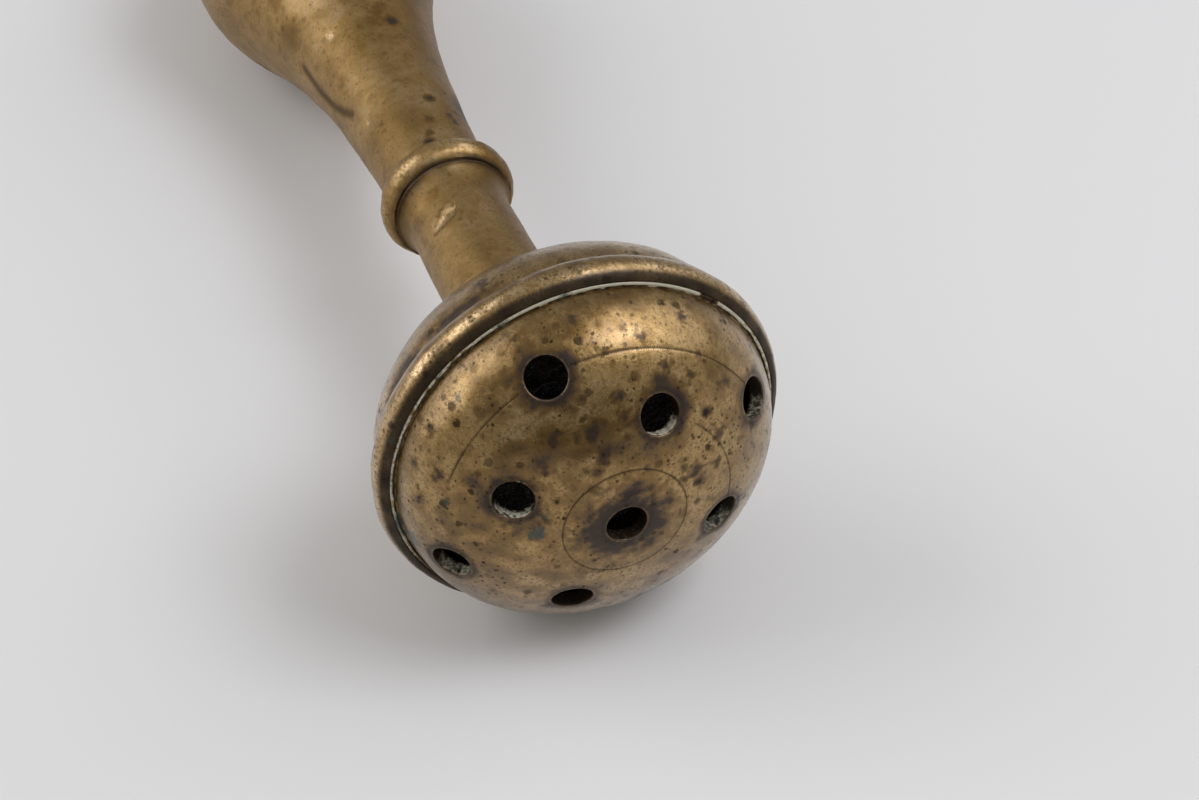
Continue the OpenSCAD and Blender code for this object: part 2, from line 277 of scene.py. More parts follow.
# The axis of the object, and the frame that lays an upright piece down along it
AXIS = Vector(next(j["axis"] for j in frame["joints"] if j["name"] == "head_turn")).normalized()
FOOT = Vector(next(m["pos_m"] for m in frame["record"]["mounts"] if m["name"] == "end_face"))
SIDE = Vector((0, 1, 0))
DOWN = SIDE.cross(AXIS)
LAY = np.array([DOWN, SIDE, AXIS])

# How far the curves of the handle's outline are pulled, as shares of its shaft and of its tail
SHAFT_PULL = 0.75
TAIL_PULL_TOP = 0.5
TAIL_PULL_END = 0.4
# Turns over which a thread thins out at each end
FADE_TURNS = 0.25
# How many turns shorter the ridges in the handle's two sockets are than the threads that they hold
TENON_LEAD = 2.5
STUD_LEAD = 2.0
# Rows of points along each pitch of a thread, and along those hidden in the handle
THREAD_ROWS = 18
SOCKET_ROWS = 9


def read_sizes():
    """The driving sizes of all groups in one place, with the radii and heights that follow from them."""
    settings = bpy.context.scene.aspergillum
    p = SimpleNamespace()
    for group in ("bowl", "dome", "neck", "handle", "finial", "threads", "soft"):
        values = getattr(settings, group)
        for key in type(values).__annotations__:
            setattr(p, key, getattr(values, key))
    p.bowl_r = p.bead_d / 2 - p.bead_proud
    p.bead_rho = ((p.bead_w / 2) ** 2 + p.bead_proud**2) / (2 * p.bead_proud)
    p.bead_centre_r = p.bead_d / 2 - p.bead_rho
    p.rebate_r = p.bowl_r + p.fit_gap / 2
    p.flange_r = p.rebate_r - p.fit_gap
    p.dome_r = p.flange_r - p.ledge_w
    p.mouth_r = p.bowl_r - p.mouth_wall
    p.skirt_r = p.mouth_r - p.thread_gap - p.thread_h
    p.skirt_bore_r = p.skirt_r - p.skirt_wall
    p.ring_rho = p.ring_t / 2
    p.ring_centre_r = p.ring_d / 2 - p.ring_rho
    p.seat_r = p.neck_foot_d / 2
    p.ring_face = math.sqrt(p.ring_rho**2 - (p.seat_r - p.ring_centre_r) ** 2)
    p.z_handle = p.finial_len + p.washer_t
    p.z_end_ring = p.z_handle + p.ring_face
    p.z_bulb = p.z_end_ring + p.tail_len
    p.z_ring = p.z_bulb + p.shaft_len
    p.z_ring_top = p.z_ring + p.ring_face
    p.z_neck = p.z_ring_top + p.washer_t
    p.z_bowl = p.z_neck + p.neck_len
    p.z_floor = p.z_bowl + p.bowl_floor
    p.z_bead_back = p.z_bowl + p.bowl_depth
    p.z_bead = p.z_bead_back + p.bead_w / 2
    p.z_flange = p.z_bead + p.washer_t
    p.z_dome = p.z_flange + p.flange_t
    p.z_skirt_end = p.z_bead - p.skirt_len
    p.z_nut_top = p.z_floor + p.nut_t
    p.z_bowl_arc = p.z_bead_back - p.bowl_band
    p.bowl_rise = (p.z_bowl_arc - p.z_bowl) / math.sqrt(1 - (p.neck_top_d / 2 / p.bowl_r) ** 2)
    p.cavity_r = p.bowl_r - p.bowl_wall
    p.cavity_rise = p.bowl_rise - p.bowl_wall
    p.z_mouth_end = p.z_skirt_end - 2 * p.fit_gap
    p.outer_r = p.dome_r - p.outer_inset
    p.inner_r = p.outer_r - p.circle_step
    p.scribed_r = (p.centre_scribe_d / 2, p.inner_r, p.outer_r)
    p.tenon_socket_r = p.tenon_d / 2 + p.thread_h + p.thread_gap
    p.stud_socket_r = p.stud_d / 2 + p.thread_h + p.thread_gap
    p.z_dome_thread = p.z_skirt_end + p.dome_pitch / 2
    p.dome_thread_len = p.skirt_len - p.dome_pitch
    p.z_tenon_thread = p.z_neck - p.tenon_len + p.stem_pitch / 2
    p.tenon_thread_len = p.tenon_len - p.washer_t - p.socket_land - p.stem_pitch / 2
    p.z_stud_thread = p.z_handle + p.socket_land
    p.stud_thread_len = p.stud_len - p.washer_t - p.socket_land - p.stem_pitch / 2
    return p


def lay(points):
    """Points of the upright object laid down on the table: foot + x down + y side + z axis."""
    return np.array(FOOT) + points @ LAY


def arc(centre, rx, ry, start, end, count):
    """Elliptic arc: centre + (rx cos a, ry sin a), with a from start to end in radians."""
    a = np.linspace(start, end, count + 1)
    return np.stack([centre[0] + rx * np.cos(a), centre[1] + ry * np.sin(a)], 1)


def cubic(points, count):
    """Cubic curve with two pull points."""
    t = np.linspace(0, 1, count + 1)[:, None]
    a, b, c, d = np.array(points)
    return (1 - t) ** 3 * a + 3 * (1 - t) ** 2 * t * b + 3 * (1 - t) * t**2 * c + t**3 * d


def soften(corners, radius, count=4):
    """A run of straight lines with each inner corner rounded by a short curve that starts one radius away."""
    corners = np.array(corners, float)
    out = [corners[:1]]
    t = np.linspace(0, 1, count + 1)[:, None]
    for before, here, after in zip(corners[:-2], corners[1:-1], corners[2:]):
        near, far = before - here, after - here
        a = here + near * min(0.45, radius / np.linalg.norm(near))
        b = here + far * min(0.45, radius / np.linalg.norm(far))
        out.append((1 - t) ** 2 * a + 2 * t * (1 - t) * here + t**2 * b)
    return np.concatenate([*out, corners[-1:]])


def stretch(outline, step):
    """The same run of lines with every line longer than step cut into equal shorter ones."""
    along = np.concatenate([[0], np.cumsum(np.hypot(*np.diff(outline, axis=0).T))])
    cuts = [
        np.linspace(a, b, max(1, math.ceil((b - a) / step)), endpoint=False) for a, b in zip(along, along[1:])
    ]
    fine = np.concatenate([*cuts, along[-1:]])
    return np.stack([np.interp(fine, along, column) for column in outline.T], 1)


def dressed(outline, step, grime=0.0, wear=0.0):
    """Outline points with their share of grime and wear beside them; the grime also carries painted shade and the
    wear painted highlights.
    Each share is one number or a function of the way along."""
    outline = stretch(np.array(outline, float), step)
    way = np.linspace(0, 1, len(outline))
    extra = [value(way) if callable(value) else np.full(len(way), value) for value in (grime, wear)]
    return np.column_stack([outline, *extra])


def chain(*runs):
    """Runs of outline points joined end to end, each shared point kept once."""
    points = np.concatenate(runs)
    gap = np.hypot(*np.diff(points[:, :2], axis=0).T)
    return points[np.concatenate([[True], gap > WELD])]


def radius_of(points):
    """Distance of points from the axis."""
    return np.hypot(points[..., 0], points[..., 1])


def angle_of(points):
    """Angle of points round the axis, in radians."""
    return np.arctan2(points[..., 1], points[..., 0])


def row_of(base):
    """The place of each row of a turned grid along its outline."""
    return np.arange(len(base))[:, None]


def hump(x, centre, width):
    """A bell curve of height 1."""
    return np.exp(-(((x - centre) / width) ** 2))


def smooth(x, low, high):
    """0 below low, 1 above high and a smooth step between them."""
    t = np.clip((x - low) / (high - low), 0, 1)
    return t * t * (3 - 2 * t)


def waves(points, size, seed, count=36):
    """A smooth random field with a spread of about 1: a sum of cosine waves about one size long."""
    rng = np.random.default_rng(seed)
    way = rng.normal(size=(count, 3))
    way *= (TURN / size * rng.uniform(0.6, 1.7, count) / np.linalg.norm(way, axis=1))[:, None]
    phase = rng.uniform(0, TURN, count)
    return np.cos(points @ way.T + phase).sum(-1) * math.sqrt(2 / count)


def pocks(points, count, small, large, seed):
    """Scattered round pits as a field from 0 to 1, deepest in the middle of each pit."""
    rng = np.random.default_rng(seed)
    flat = points.reshape(-1, 3)
    field = np.zeros(len(flat))
    for centre in flat[rng.integers(0, len(flat), count)]:
        radius = small * (large / small) ** (rng.random() ** 2)
        depth = rng.uniform(0.4, 1.0)
        near = np.abs(flat[:, 2] - centre[2]) < 3 * radius
        reach = ((flat[near] - centre) ** 2).sum(-1) / radius**2
        field[near] = np.maximum(field[near], depth * np.exp(-(reach**2)))
    return field.reshape(points.shape[:-1])


def blot(points, centre, radius, seed, ragged=0.2):
    """A stain that fades to a more or less ragged edge: 1 in the middle, 0 past its radius."""
    reach = np.linalg.norm(points - centre, axis=-1) / radius
    return 1 - smooth(reach + ragged * waves(points, 0.8 * radius, seed), 0.15, 1.15)


def streak(points, stops, width):
    """A line that fades out on both sides, run through a few points: 1 along it, 0 past its width."""
    reach = np.full(points.shape[:-1], np.inf)
    for start, end in zip(stops, stops[1:]):
        way = end - start
        along = np.clip((points - start) @ way / (way @ way), 0, 1)
        reach = np.minimum(reach, np.linalg.norm(points - start - along[..., None] * way, axis=-1))
    return 1 - smooth(reach, 0.2 * width, width)


def polar(r, angle, z):
    """A point at a radius, an angle in degrees and a height."""
    a = math.radians(angle)
    return np.array([r * math.cos(a), r * math.sin(a), z])


def apart(angle, middle):
    """How far angles in radians lie from one in degrees, in degrees from 0 to 180."""
    return np.abs((np.degrees(angle) - middle + 180) % 360 - 180)


def sector(points, middle, whole, end):
    """A stretch round the axis: 1 out to so many degrees on both sides of its middle, and 0 past its end."""
    return 1 - smooth(apart(angle_of(points), middle), whole, end)


def thread_ridge(base, p, pitch, z_start, run):
    """Height of a right-hand thread at each point: a trapezium across, wound up one pitch a turn,
    that thins out over its first and last quarter turn."""
    turn = angle_of(base) / TURN
    climb = (base[..., 2] - z_start) / pitch - turn
    off = climb - np.round(climb)
    wound = np.round(climb) + turn
    flank = np.clip((p.thread_foot / 2 - np.abs(off)) / (p.thread_foot / 2 - p.thread_crest / 2), 0, 1)
    ends = np.clip(np.minimum(wound, run / pitch - wound) / FADE_TURNS, 0, 1)
    return p.thread_h * flank * ends


def weathered(like, grime=0.0, wear=0.0, deposit=0.0, stain=0.0, green=0.0):
    """The five weathering channels of some points side by side, kept between 0 and 1."""
    layers = [np.broadcast_to(value, like.shape[:-1]) for value in (grime, wear, deposit, stain, green)]
    return np.clip(np.stack(layers, -1), 0, 1)


def blank(like):
    """The weathering channels of some points, all 0 so far."""
    return np.zeros((CHANNELS, *like.shape[:-1]))


def over(layers, channel, value):
    """Lays a mark on one channel where it is stronger than what is there."""
    np.maximum(layers[channel], value, out=layers[channel])


def patchy(value, field, middle=0.9, spread=0.3):
    """A value that a random field makes stronger and weaker from place to place."""
    return value * np.clip(middle + spread * field, 0, 1.2)


def make_piece(name, points, faces, weathering):
    """A welded mesh object from laid points, arrays of faces and the weathering of each point."""
    mesh = bpy.data.meshes.new(name)
    mesh.vertices.add(len(points))
    mesh.vertices.foreach_set("co", points.astype(np.float32).ravel())
    corners = np.concatenate([f.ravel() for f in faces])
    counts = np.concatenate([np.full(len(f), f.shape[1]) for f in faces])
    mesh.loops.add(len(corners))
    mesh.loops.foreach_set("vertex_index", corners.astype(np.int32))
    mesh.polygons.add(len(counts))
    mesh.polygons.foreach_set("loop_start", (np.cumsum(counts) - counts).astype(np.int32))
    mesh.update(calc_edges=True)
    layer = mesh.attributes.new("weathering", "FLOAT_COLOR", "POINT")
    layer.data.foreach_set("color", weathering[:, :GREEN].astype(np.float32).ravel())
    layer = mesh.attributes.new("verdigris", "FLOAT", "POINT")
    layer.data.foreach_set("value", weathering[:, GREEN].astype(np.float32))
    shell = bmesh.new()
    shell.from_mesh(mesh)
    bmesh.ops.remove_doubles(shell, verts=shell.verts, dist=WELD)
    bmesh.ops.dissolve_degenerate(shell, edges=shell.edges, dist=WELD / 10)
    bmesh.ops.recalc_face_normals(shell, faces=shell.faces)
    shell.to_mesh(mesh)
    shell.free()
    mesh.shade_smooth()
    mesh.set_sharp_from_angle(angle=SHARP)
    piece = bpy.data.objects.new(name, mesh)
    bpy.context.scene.collection.objects.link(piece)
    return piece


def grid_quads(rows, columns, closed, start=0):
    """Four-cornered faces of a grid whose columns run all the way round.
    Where the grid is closed, its last row joins its first."""
    i = np.arange(rows if closed else rows - 1)[:, None]
    j = np.arange(columns)[None, :]
    up, on = (i + 1) % rows, (j + 1) % columns
    corners = [i * columns + j, i * columns + on, up * columns + on, up * columns + j]
    return start + np.stack(np.broadcast_arrays(*corners), -1).reshape(-1, 4)


def turned_grid(outline, columns):
    """Points and normals of a surface of revolution: (r cos a, r sin a, z) along a closed outline."""
    a = np.arange(columns) * TURN / columns
    r, z = outline[:, 0, None], outline[:, 1, None]
    ahead = np.roll(outline[:, :2], -1, 0) - outline[:, :2]
    ahead /= np.linalg.norm(ahead, axis=1)[:, None]
    lean = ahead + np.roll(ahead, 1, 0)
    lean /= np.maximum(np.linalg.norm(lean, axis=1), WELD)[:, None]
    nr, nz = lean[:, 1, None], -lean[:, 0, None]
    base = np.stack(np.broadcast_arrays(r * np.cos(a), r * np.sin(a), z), -1)
    normal = np.stack(np.broadcast_arrays(nr * np.cos(a), nr * np.sin(a), nz), -1)
    return base, normal


def turned_piece(name, outline, columns, shift, weather, closed=True):
    """A turned piece: each point moved along its normal by shift(base), with weather(base, grime, wear), where
    grime also carries painted shade.
    """
    base, normal = turned_grid(outline, columns)
    points = base + shift(base)[..., None] * normal
    weathering = weather(base, outline[:, 2, None], outline[:, 3, None])
    quads = grid_quads(len(outline), columns, closed)
    return make_piece(name, lay(points.reshape(-1, 3)), [quads], weathering.reshape(-1, CHANNELS))


def hand_worn(base, seed):
    """The slight unevenness of a hand-finished casting."""
    return 0.035 * MM * waves(base, 11 * MM, seed) + 0.012 * MM * waves(base, 4 * MM, seed + 1)


def seat(piece, finish, body, slot, *nodes):
    """Gives a piece its finish, ties it to its body and hides the solids that it stands for. The slot is not used.
    """
    piece.data.materials.append(finish_of(finish))
    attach(piece, body)
    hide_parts(*nodes)


class Nodes:
    """A node tree, with short calls for adding nodes and filling their sockets."""

    def __init__(self, tree):
        self.tree = tree

    def node(self, kind, sockets, **settings):
        """A node with its settings, and its sockets linked or set."""
        made = self.tree.nodes.new("ShaderNode" + kind)
        for key, value in settings.items():
            setattr(made, key, value)
        self.fill(made, sockets)
        return made

    def fill(self, node, sockets):
        """Links each named socket that is given a socket, and sets the others."""
        for key, value in sockets.items():
            if isinstance(value, bpy.types.NodeSocket):
                self.tree.links.new(value, node.inputs[key])
            else:
                node.inputs[key].default_value = value


class Finish(Nodes):
    """A material's node tree, with short calls for what the finishes here are made of."""

    def __init__(self, name):
        self.material = bpy.data.materials.new(name)
        self.material.use_nodes = True
        super().__init__(self.material.node_tree)
        self.shader = self.tree.nodes["Principled BSDF"]

    def place(self):
        """The piece's own coordinates, in millimetres."""
        where = self.node("TexCoord", {})
        scaled = self.node("Mapping", {"Vector": where.outputs["Object"], "Scale": (1 / MM,) * 3})
        return scaled.outputs[0]

    def noise(self, where, per_mm, detail=4.0, rough=0.55):
        """Cloudy noise, from 0 to 1."""
        sockets = {"Vector": where, "Scale": per_mm, "Detail": detail, "Roughness": rough}
        return self.node("TexNoise", sockets).outputs["Fac"]

    def calc(self, operation, a, b=0.0):
        """One step of arithmetic."""
        return self.node("Math", {0: a, 1: b}, operation=operation).outputs[0]

    def step(self, value, low, high):
        """A smooth step from 0 at low to 1 at high."""
        sockets = {"Value": value, "From Min": low, "From Max": high}
        return self.node("MapRange", sockets, interpolation_type="SMOOTHSTEP").outputs[0]

    def blend(self, factor, a, b):
        """Colour a where the factor is 0 and b where it is 1."""
        return self.node("Mix", {0: factor, 6: a, 7: b}, data_type="RGBA").outputs[2]

    def less(self, value, factor, share):
        """A value brought down by a share where a factor is 1."""
        return self.calc("MULTIPLY", value, self.calc("SUBTRACT", 1.0, self.calc("MULTIPLY", factor, share)))

    def sum_of(self, start, *terms):
        """A number plus each (value, share) term."""
        total = start
        for value, share in terms:
            total = self.node("Math", {0: value, 1: share, 2: total}, operation="MULTIPLY_ADD").outputs[0]
        return total

    def speckle(self, where, per_mm, largest, rarity, soft):
        """Scattered spots of mixed size and strength with ragged edges, from 0 to 1."""
        sockets = {"Vector": where, "Scale": per_mm * 2.6, "Detail": 5.0, "Roughness": 0.7}
        ragged = self.node("TexNoise", sockets)
        push = self.node("VectorMath", {0: ragged.outputs["Color"], "Scale": 0.8 / per_mm}, operation="SCALE")
        moved = self.node("VectorMath", {0: where, 1: push.outputs[0]}, operation="ADD")
        cells = self.node("TexVoronoi", {"Vector": moved.outputs[0], "Scale": per_mm})
        draw = self.node("SeparateColor", {0: cells.outputs["Color"]})
        radius = self.sum_of(-soft, (self.calc("POWER", draw.outputs[0], rarity), largest + soft))
        depth = self.step(self.calc("SUBTRACT", radius, cells.outputs["Distance"]), -soft, soft)
        return self.calc("MULTIPLY", depth, self.sum_of(0.35, (draw.outputs[1], 0.65)))


def opaque(rgb):
    """A colour with full alpha."""
    return (*rgb, 1.0)


def old_brass():
    """Old brass as it is on the head: bright, grainy and spotted."""
    return brass("old_brass", coarse=1.0, dull=0.20, aged=0.0, waxed=0.7)


def handled_brass():
    """Old brass as it is where hands have held it: duller, smoother and less spotted."""
    return brass("handled_brass", coarse=0.40, dull=0.38, aged=0.38, waxed=0.15)


def brass(name, coarse, dull, aged, waxed):
    """Brass: cloudy gold and brown, spotted and pitted, with what its weathering channels add, painted shade and
    highlights among it.
    The grain and spots are as strong as coarse says, the roughness starts at dull, aged browns it all,
    and waxed is the strength of a clear film where the metal is clean."""
    c = bpy.context.scene.aspergillum.finishes
    f = Finish(name)
    where = f.place()
    marks = f.node("Attribute", {}, attribute_name="weathering")
    split = f.node("SeparateColor", {0: marks.outputs["Color"]})
    grime, wear, deposit = split.outputs[0], split.outputs[1], split.outputs[2]
    stain = marks.outputs["Alpha"]
    green = f.node("Attribute", {}, attribute_name="verdigris").outputs["Fac"]

    broad = f.noise(where, 0.09, 3.0)
    cloud = f.noise(where, 0.40, 6.0, 0.68)
    fine = f.noise(where, 2.2, 5.0, 0.70)
    grain = f.noise(where, 7.0, 2.0, 0.6)
    tone = f.sum_of(0.0, (broad, 0.35), (cloud, 0.40), (fine, 0.25))
    metal = f.blend(f.step(tone, 0.38, 0.52), opaque(c.brown), opaque(c.olive))
    metal = f.blend(f.step(tone, 0.50, 0.62), metal, opaque(c.gold))
    metal = f.blend(f.calc("MULTIPLY", f.step(fine, 0.45, 0.62), 0.75 * coarse), metal, opaque(c.brown))
    metal = f.blend(f.calc("MULTIPLY", f.step(grain, 0.48, 0.66), 0.50 * coarse), metal, opaque(c.brown))
    metal = f.blend(aged, metal, opaque(c.brown))
    # Gold where the wear channel says. That is real wear, and on the bead's crest and in the handle's dents it is
    # also painted highlight
    rubbed_and_glint = f.calc("MULTIPLY", wear, f.step(fine, 0.60, 0.42))
    metal = f.blend(rubbed_and_glint, metal, opaque(c.gold))

    patch = f.step(f.noise(where, 0.30, 8.0, 0.75), 0.52, 0.70)
    frayed = f.sum_of(stain, (f.calc("SUBTRACT", cloud, 0.5), 0.45), (f.calc("SUBTRACT", fine, 0.5), 0.5))
    # Brown where the stain channel says. That is real stain, and in places it is painted shade
    browned_and_shaded = f.calc("MAXIMUM", f.step(frayed, 0.06, 0.52), f.calc("MULTIPLY", patch, 0.55))
    tarnish = f.step(frayed, 0.40, 1.0)
    thick = f.sum_of(0.5, (f.step(f.noise(where, 0.13, 2.0), 0.42, 0.56), 0.5))
    small = f.calc("MULTIPLY", f.speckle(where, 1.6, 0.44, 1.0, 0.09), thick)
    spots = f.calc("MAXIMUM", f.speckle(where, 0.65, 0.40, 1.7, 0.12), small)
    spots = f.calc("MAXIMUM", f.speckle(where, 0.22, 0.26, 3.0, 0.10), spots)
    spots = f.less(f.calc("MULTIPLY", spots, coarse), rubbed_and_glint, 0.5)
    crust = f.calc("MULTIPLY", deposit, f.sum_of(0.5, (f.step(fine, 0.62, 0.40), 0.5)))
    crust = f.step(crust, 0.10, 0.55)
    bloom = f.step(f.sum_of(green, (f.calc("SUBTRACT", fine, 0.5), 0.8)), 0.15, 1.0)

    colour = f.blend(f.calc("MULTIPLY", browned_and_shaded, 0.90), metal, opaque(c.brown))
    colour = f.blend(f.calc("MULTIPLY", tarnish, 0.92), colour, opaque(c.oxide))
    colour = f.blend(f.calc("MULTIPLY", spots, 0.90), colour, opaque(c.spot))
    colour = f.blend(grime, colour, opaque(c.grime))
    colour = f.blend(f.calc("MULTIPLY", bloom, 0.95), colour, opaque(c.verdigris))
    pale = f.blend(f.calc("MULTIPLY", bloom, 0.65), opaque(c.scale), opaque(c.verdigris))
    colour = f.blend(crust, colour, pale)

    bare = f.less(f.less(f.less(0.98, spots, 0.10), tarnish, 0.10), grime, 0.5)
    bare = f.less(f.less(bare, bloom, 0.75), crust, 1.0)
    film = f.less(f.less(f.less(waxed, grime, 1.0), spots, 1.0), tarnish, 0.6)
    rough = f.sum_of(dull, (cloud, 0.10), (fine, 0.12), (rubbed_and_glint, -0.10), (tarnish, 0.05), (spots, 0.12))
    rough = f.sum_of(rough, (grime, 0.25), (crust, 0.4))
    height = f.sum_of(0.0, (fine, 0.6 * coarse), (grain, 0.2 * coarse), (spots, -0.5), (crust, 0.8))
    relief = f.node("Bump", {"Strength": 0.5, "Distance": 0.10 * MM, "Height": height})
    f.fill(
        f.shader,
        {
            "Base Color": colour,
            "Metallic": bare,
            "Roughness": rough,
            "Normal": relief.outputs[0],
            "Specular IOR Level": 0.15,
            "Coat Weight": film,
            "Coat Roughness": 0.22,
        },
    )
    return f.material


def washer_leather():
    """Washer leather: dark oiled hide with a fine grain and paler scuffs."""
    c = bpy.context.scene.aspergillum.finishes
    f = Finish("washer_leather")
    where = f.place()
    grain = f.node("TexVoronoi", {"Vector": where, "Scale": 2.6}).outputs["Distance"]
    cloud = f.noise(where, 0.8, 5.0, 0.6)
    pale = tuple(min(1.0, 2.4 * v) for v in c.leather)
    colour = f.blend(f.step(cloud, 0.45, 0.75), opaque(c.leather), opaque(pale))
    relief = f.node("Bump", {"Strength": 0.5, "Distance": 0.12 * MM, "Height": grain})
    rough = f.sum_of(0.45, (cloud, 0.3))
    f.fill(f.shader, {"Base Color": colour, "Roughness": rough, "Normal": relief.outputs[0]})
    return f.material


def natural_sponge():
    """Natural sponge: tan, with painted shade down in the pores."""
    c = bpy.context.scene.aspergillum.finishes
    f = Finish("natural_sponge")
    where = f.place()
    pore = f.step(f.noise(where, 0.55, 4.0, 0.6), 0.36, 0.58)
    cell = f.node("TexVoronoi", {"Vector": where, "Scale": 1.3}).outputs["Distance"]
    marks = f.node("Attribute", {}, attribute_name="weathering")
    # Painted shade: darker where the pores sink in
    pore_shade = f.node("SeparateColor", {0: marks.outputs["Color"]}).outputs[0]
    dark = tuple(0.3 * v for v in c.sponge)
    colour = f.blend(f.calc("MULTIPLY", pore, f.calc("SUBTRACT", 1.0, pore_shade)), opaque(dark), opaque(c.sponge))
    height = f.calc("SUBTRACT", pore, f.calc("MULTIPLY", cell, 0.6))
    relief = f.node("Bump", {"Strength": 0.9, "Distance": 0.5 * MM, "Height": height})
    f.fill(
        f.shader,
        {"Base Color": colour, "Roughness": 0.92, "Sheen Weight": 0.25, "Normal": relief.outputs[0]},
    )
    return f.material


def finish_of(build):
    """The material that a finish function makes, made once."""
    return bpy.data.materials.get(build.__name__) or build()


# Marks of each hole: pale crust and green bloom on its wall, pale deposit on its rim and tarnish round it
CENTRE_HOLE = (0.2, 0.0, 0.0, 1.0)
INNER_HOLES = ((0.4, 0.5, 0.0, 0.85), (0.7, 0.0, 0.1, 0.95), (0.6, 0.0, 0.15, 1.0), (0.12, 0.0, 0.0, 0.85))
OUTER_HOLES = ((0.2, 0.0, 0.0, 0.85), (0.4, 0.4, 0.0, 0.8), (0.0, 0.0, 0.2, 1.0), (0.45, 0.0, 0.1, 0.85))


def dome_holes(p):
    """Each sprinkling hole: its radius from the axis, its angle and its marks."""
    holes = [(0.0, 0.0, CENTRE_HOLE)]
    for r, angles, marks in ((p.inner_r, p.inner_at, INNER_HOLES), (p.outer_r, p.outer_at, OUTER_HOLES)):
        holes += [(r, a, mark) for a, mark in zip(angles, marks)]
    return holes


def on_ellipsoid(start, way, rx, rz, z0):
    """The outer point where the line start + h way meets the ellipsoid of the dome,
    (x^2 + y^2) / rx^2 + (z - z0)^2 / rz^2 = 1."""
    scale = np.array([1 / rx**2, 1 / rx**2, 1 / rz**2])
    from_middle = start - np.array([0, 0, z0])
    a = (way * way * scale).sum(-1)
    b = (from_middle * way * scale).sum(-1)
    c = (from_middle**2 * scale).sum(-1) - 1
    h = (np.sqrt(b * b - a * c) - b) / a
    return start + h[..., None] * way


# Spacing of the points on the dome's outer and inner skin, in mm
OUTER_STEP = 0.32
INNER_STEP = 0.9
# Loops of points round each hole, by how far out from its edge they lie on each skin, in mm
OUTER_LOOPS = (0, 0.22, 0.5, 0.85)
INNER_LOOPS = (0, 0.5)
# The first of the numbers that seed the waver of each hole
HOLE_SEED = 200
# Where close rings lie across a scribed line, in widths of the line
LINE_RINGS = (-0.8, -0.4, -0.17, 0.17, 0.4, 0.8)
# Points of the ledge from the dome's foot, and of the deposit from its outer edge: across and up, in mm
LEDGE_FOOT = ((0.22, -0.08), (0.32, 0.06))
LEDGE_CRUST = ((-0.07, 0.06), (0, -0.05), (0, -0.55))
LEDGE_END = -0.7


def drill_frame(p, r, angle):
    """A hole's middle on the dome's outside, its outward axis and the two directions across it."""
    height = p.dome_h * math.sqrt(1 - (r / p.dome_r) ** 2)
    out = np.array([math.cos(angle), math.sin(angle), 0])
    up = np.array([0, 0, 1.0])
    axis = out * r / p.dome_r**2 + up * height / p.dome_h**2
    axis /= np.linalg.norm(axis)
    across = np.array([-out[1], out[0], 0])
    return out * r + up * (p.z_dome + height), axis, np.cross(across, axis), across


def dome_normal(points, rx, rz, z0):
    """Outward normals of the dome's ellipsoid."""
    n = (points - np.array([0, 0, z0])) / np.array([rx**2, rx**2, rz**2])
    return n / np.linalg.norm(n, axis=-1)[..., None]


def dome_flat(points, rx, rz, z0):
    """Points of the dome spread flat: the way along the dome from its pole becomes the distance
    from the middle."""
    u = np.linspace(0, math.pi / 2, 1500)
    pace = np.hypot(rx * np.cos(u), rz * np.sin(u))
    along = np.concatenate([[0], np.cumsum((pace[1:] + pace[:-1]) / 2 * np.diff(u))])
    r = radius_of(points)
    tilt = np.arctan2(r / rx, np.maximum(points[:, 2] - z0, 0) / rz)
    far = np.interp(tilt, u, along) / np.maximum(r, WELD)
    return points[:, :2] * far[:, None]


def dome_rings(rx, rz, z0, step, columns, lines, line_w):
    """Rings of points over the dome, evenly spaced, with close rings on both sides of each scribed line."""
    tilt = np.arcsin(np.linspace(0, 1, 400))
    way = np.cumsum(np.hypot(*np.diff(np.stack([rx * np.sin(tilt), rz * np.cos(tilt)]), prepend=0)))
    way -= way[0]
    even = rx * np.sin(np.interp(np.arange(step, way[-1] - step / 2, step), way, tilt))
    close = np.add.outer(np.array(lines), line_w * np.array(LINE_RINGS)).ravel()
    if len(close):
        even = even[np.abs(even[:, None] - close).min(1) > 0.6 * step]
    rings = []
    for k, r in enumerate(np.concatenate([even, close])):
        count = max(12, round(TURN * r / step))
        a = np.arange(count) * TURN / count + 0.7 * k
        height = np.full(count, z0 + rz * math.sqrt(1 - (r / rx) ** 2))
        rings.append(np.stack([r * np.cos(a), r * np.sin(a), height, np.full(count, k >= len(even))], 1))
    rings = np.concatenate(rings)
    a = np.arange(columns) * TURN / columns
    edge = np.stack([rx * np.cos(a), rx * np.sin(a), np.full(columns, z0)], 1)
    return rings[:, :3], rings[:, 3] > 0, edge


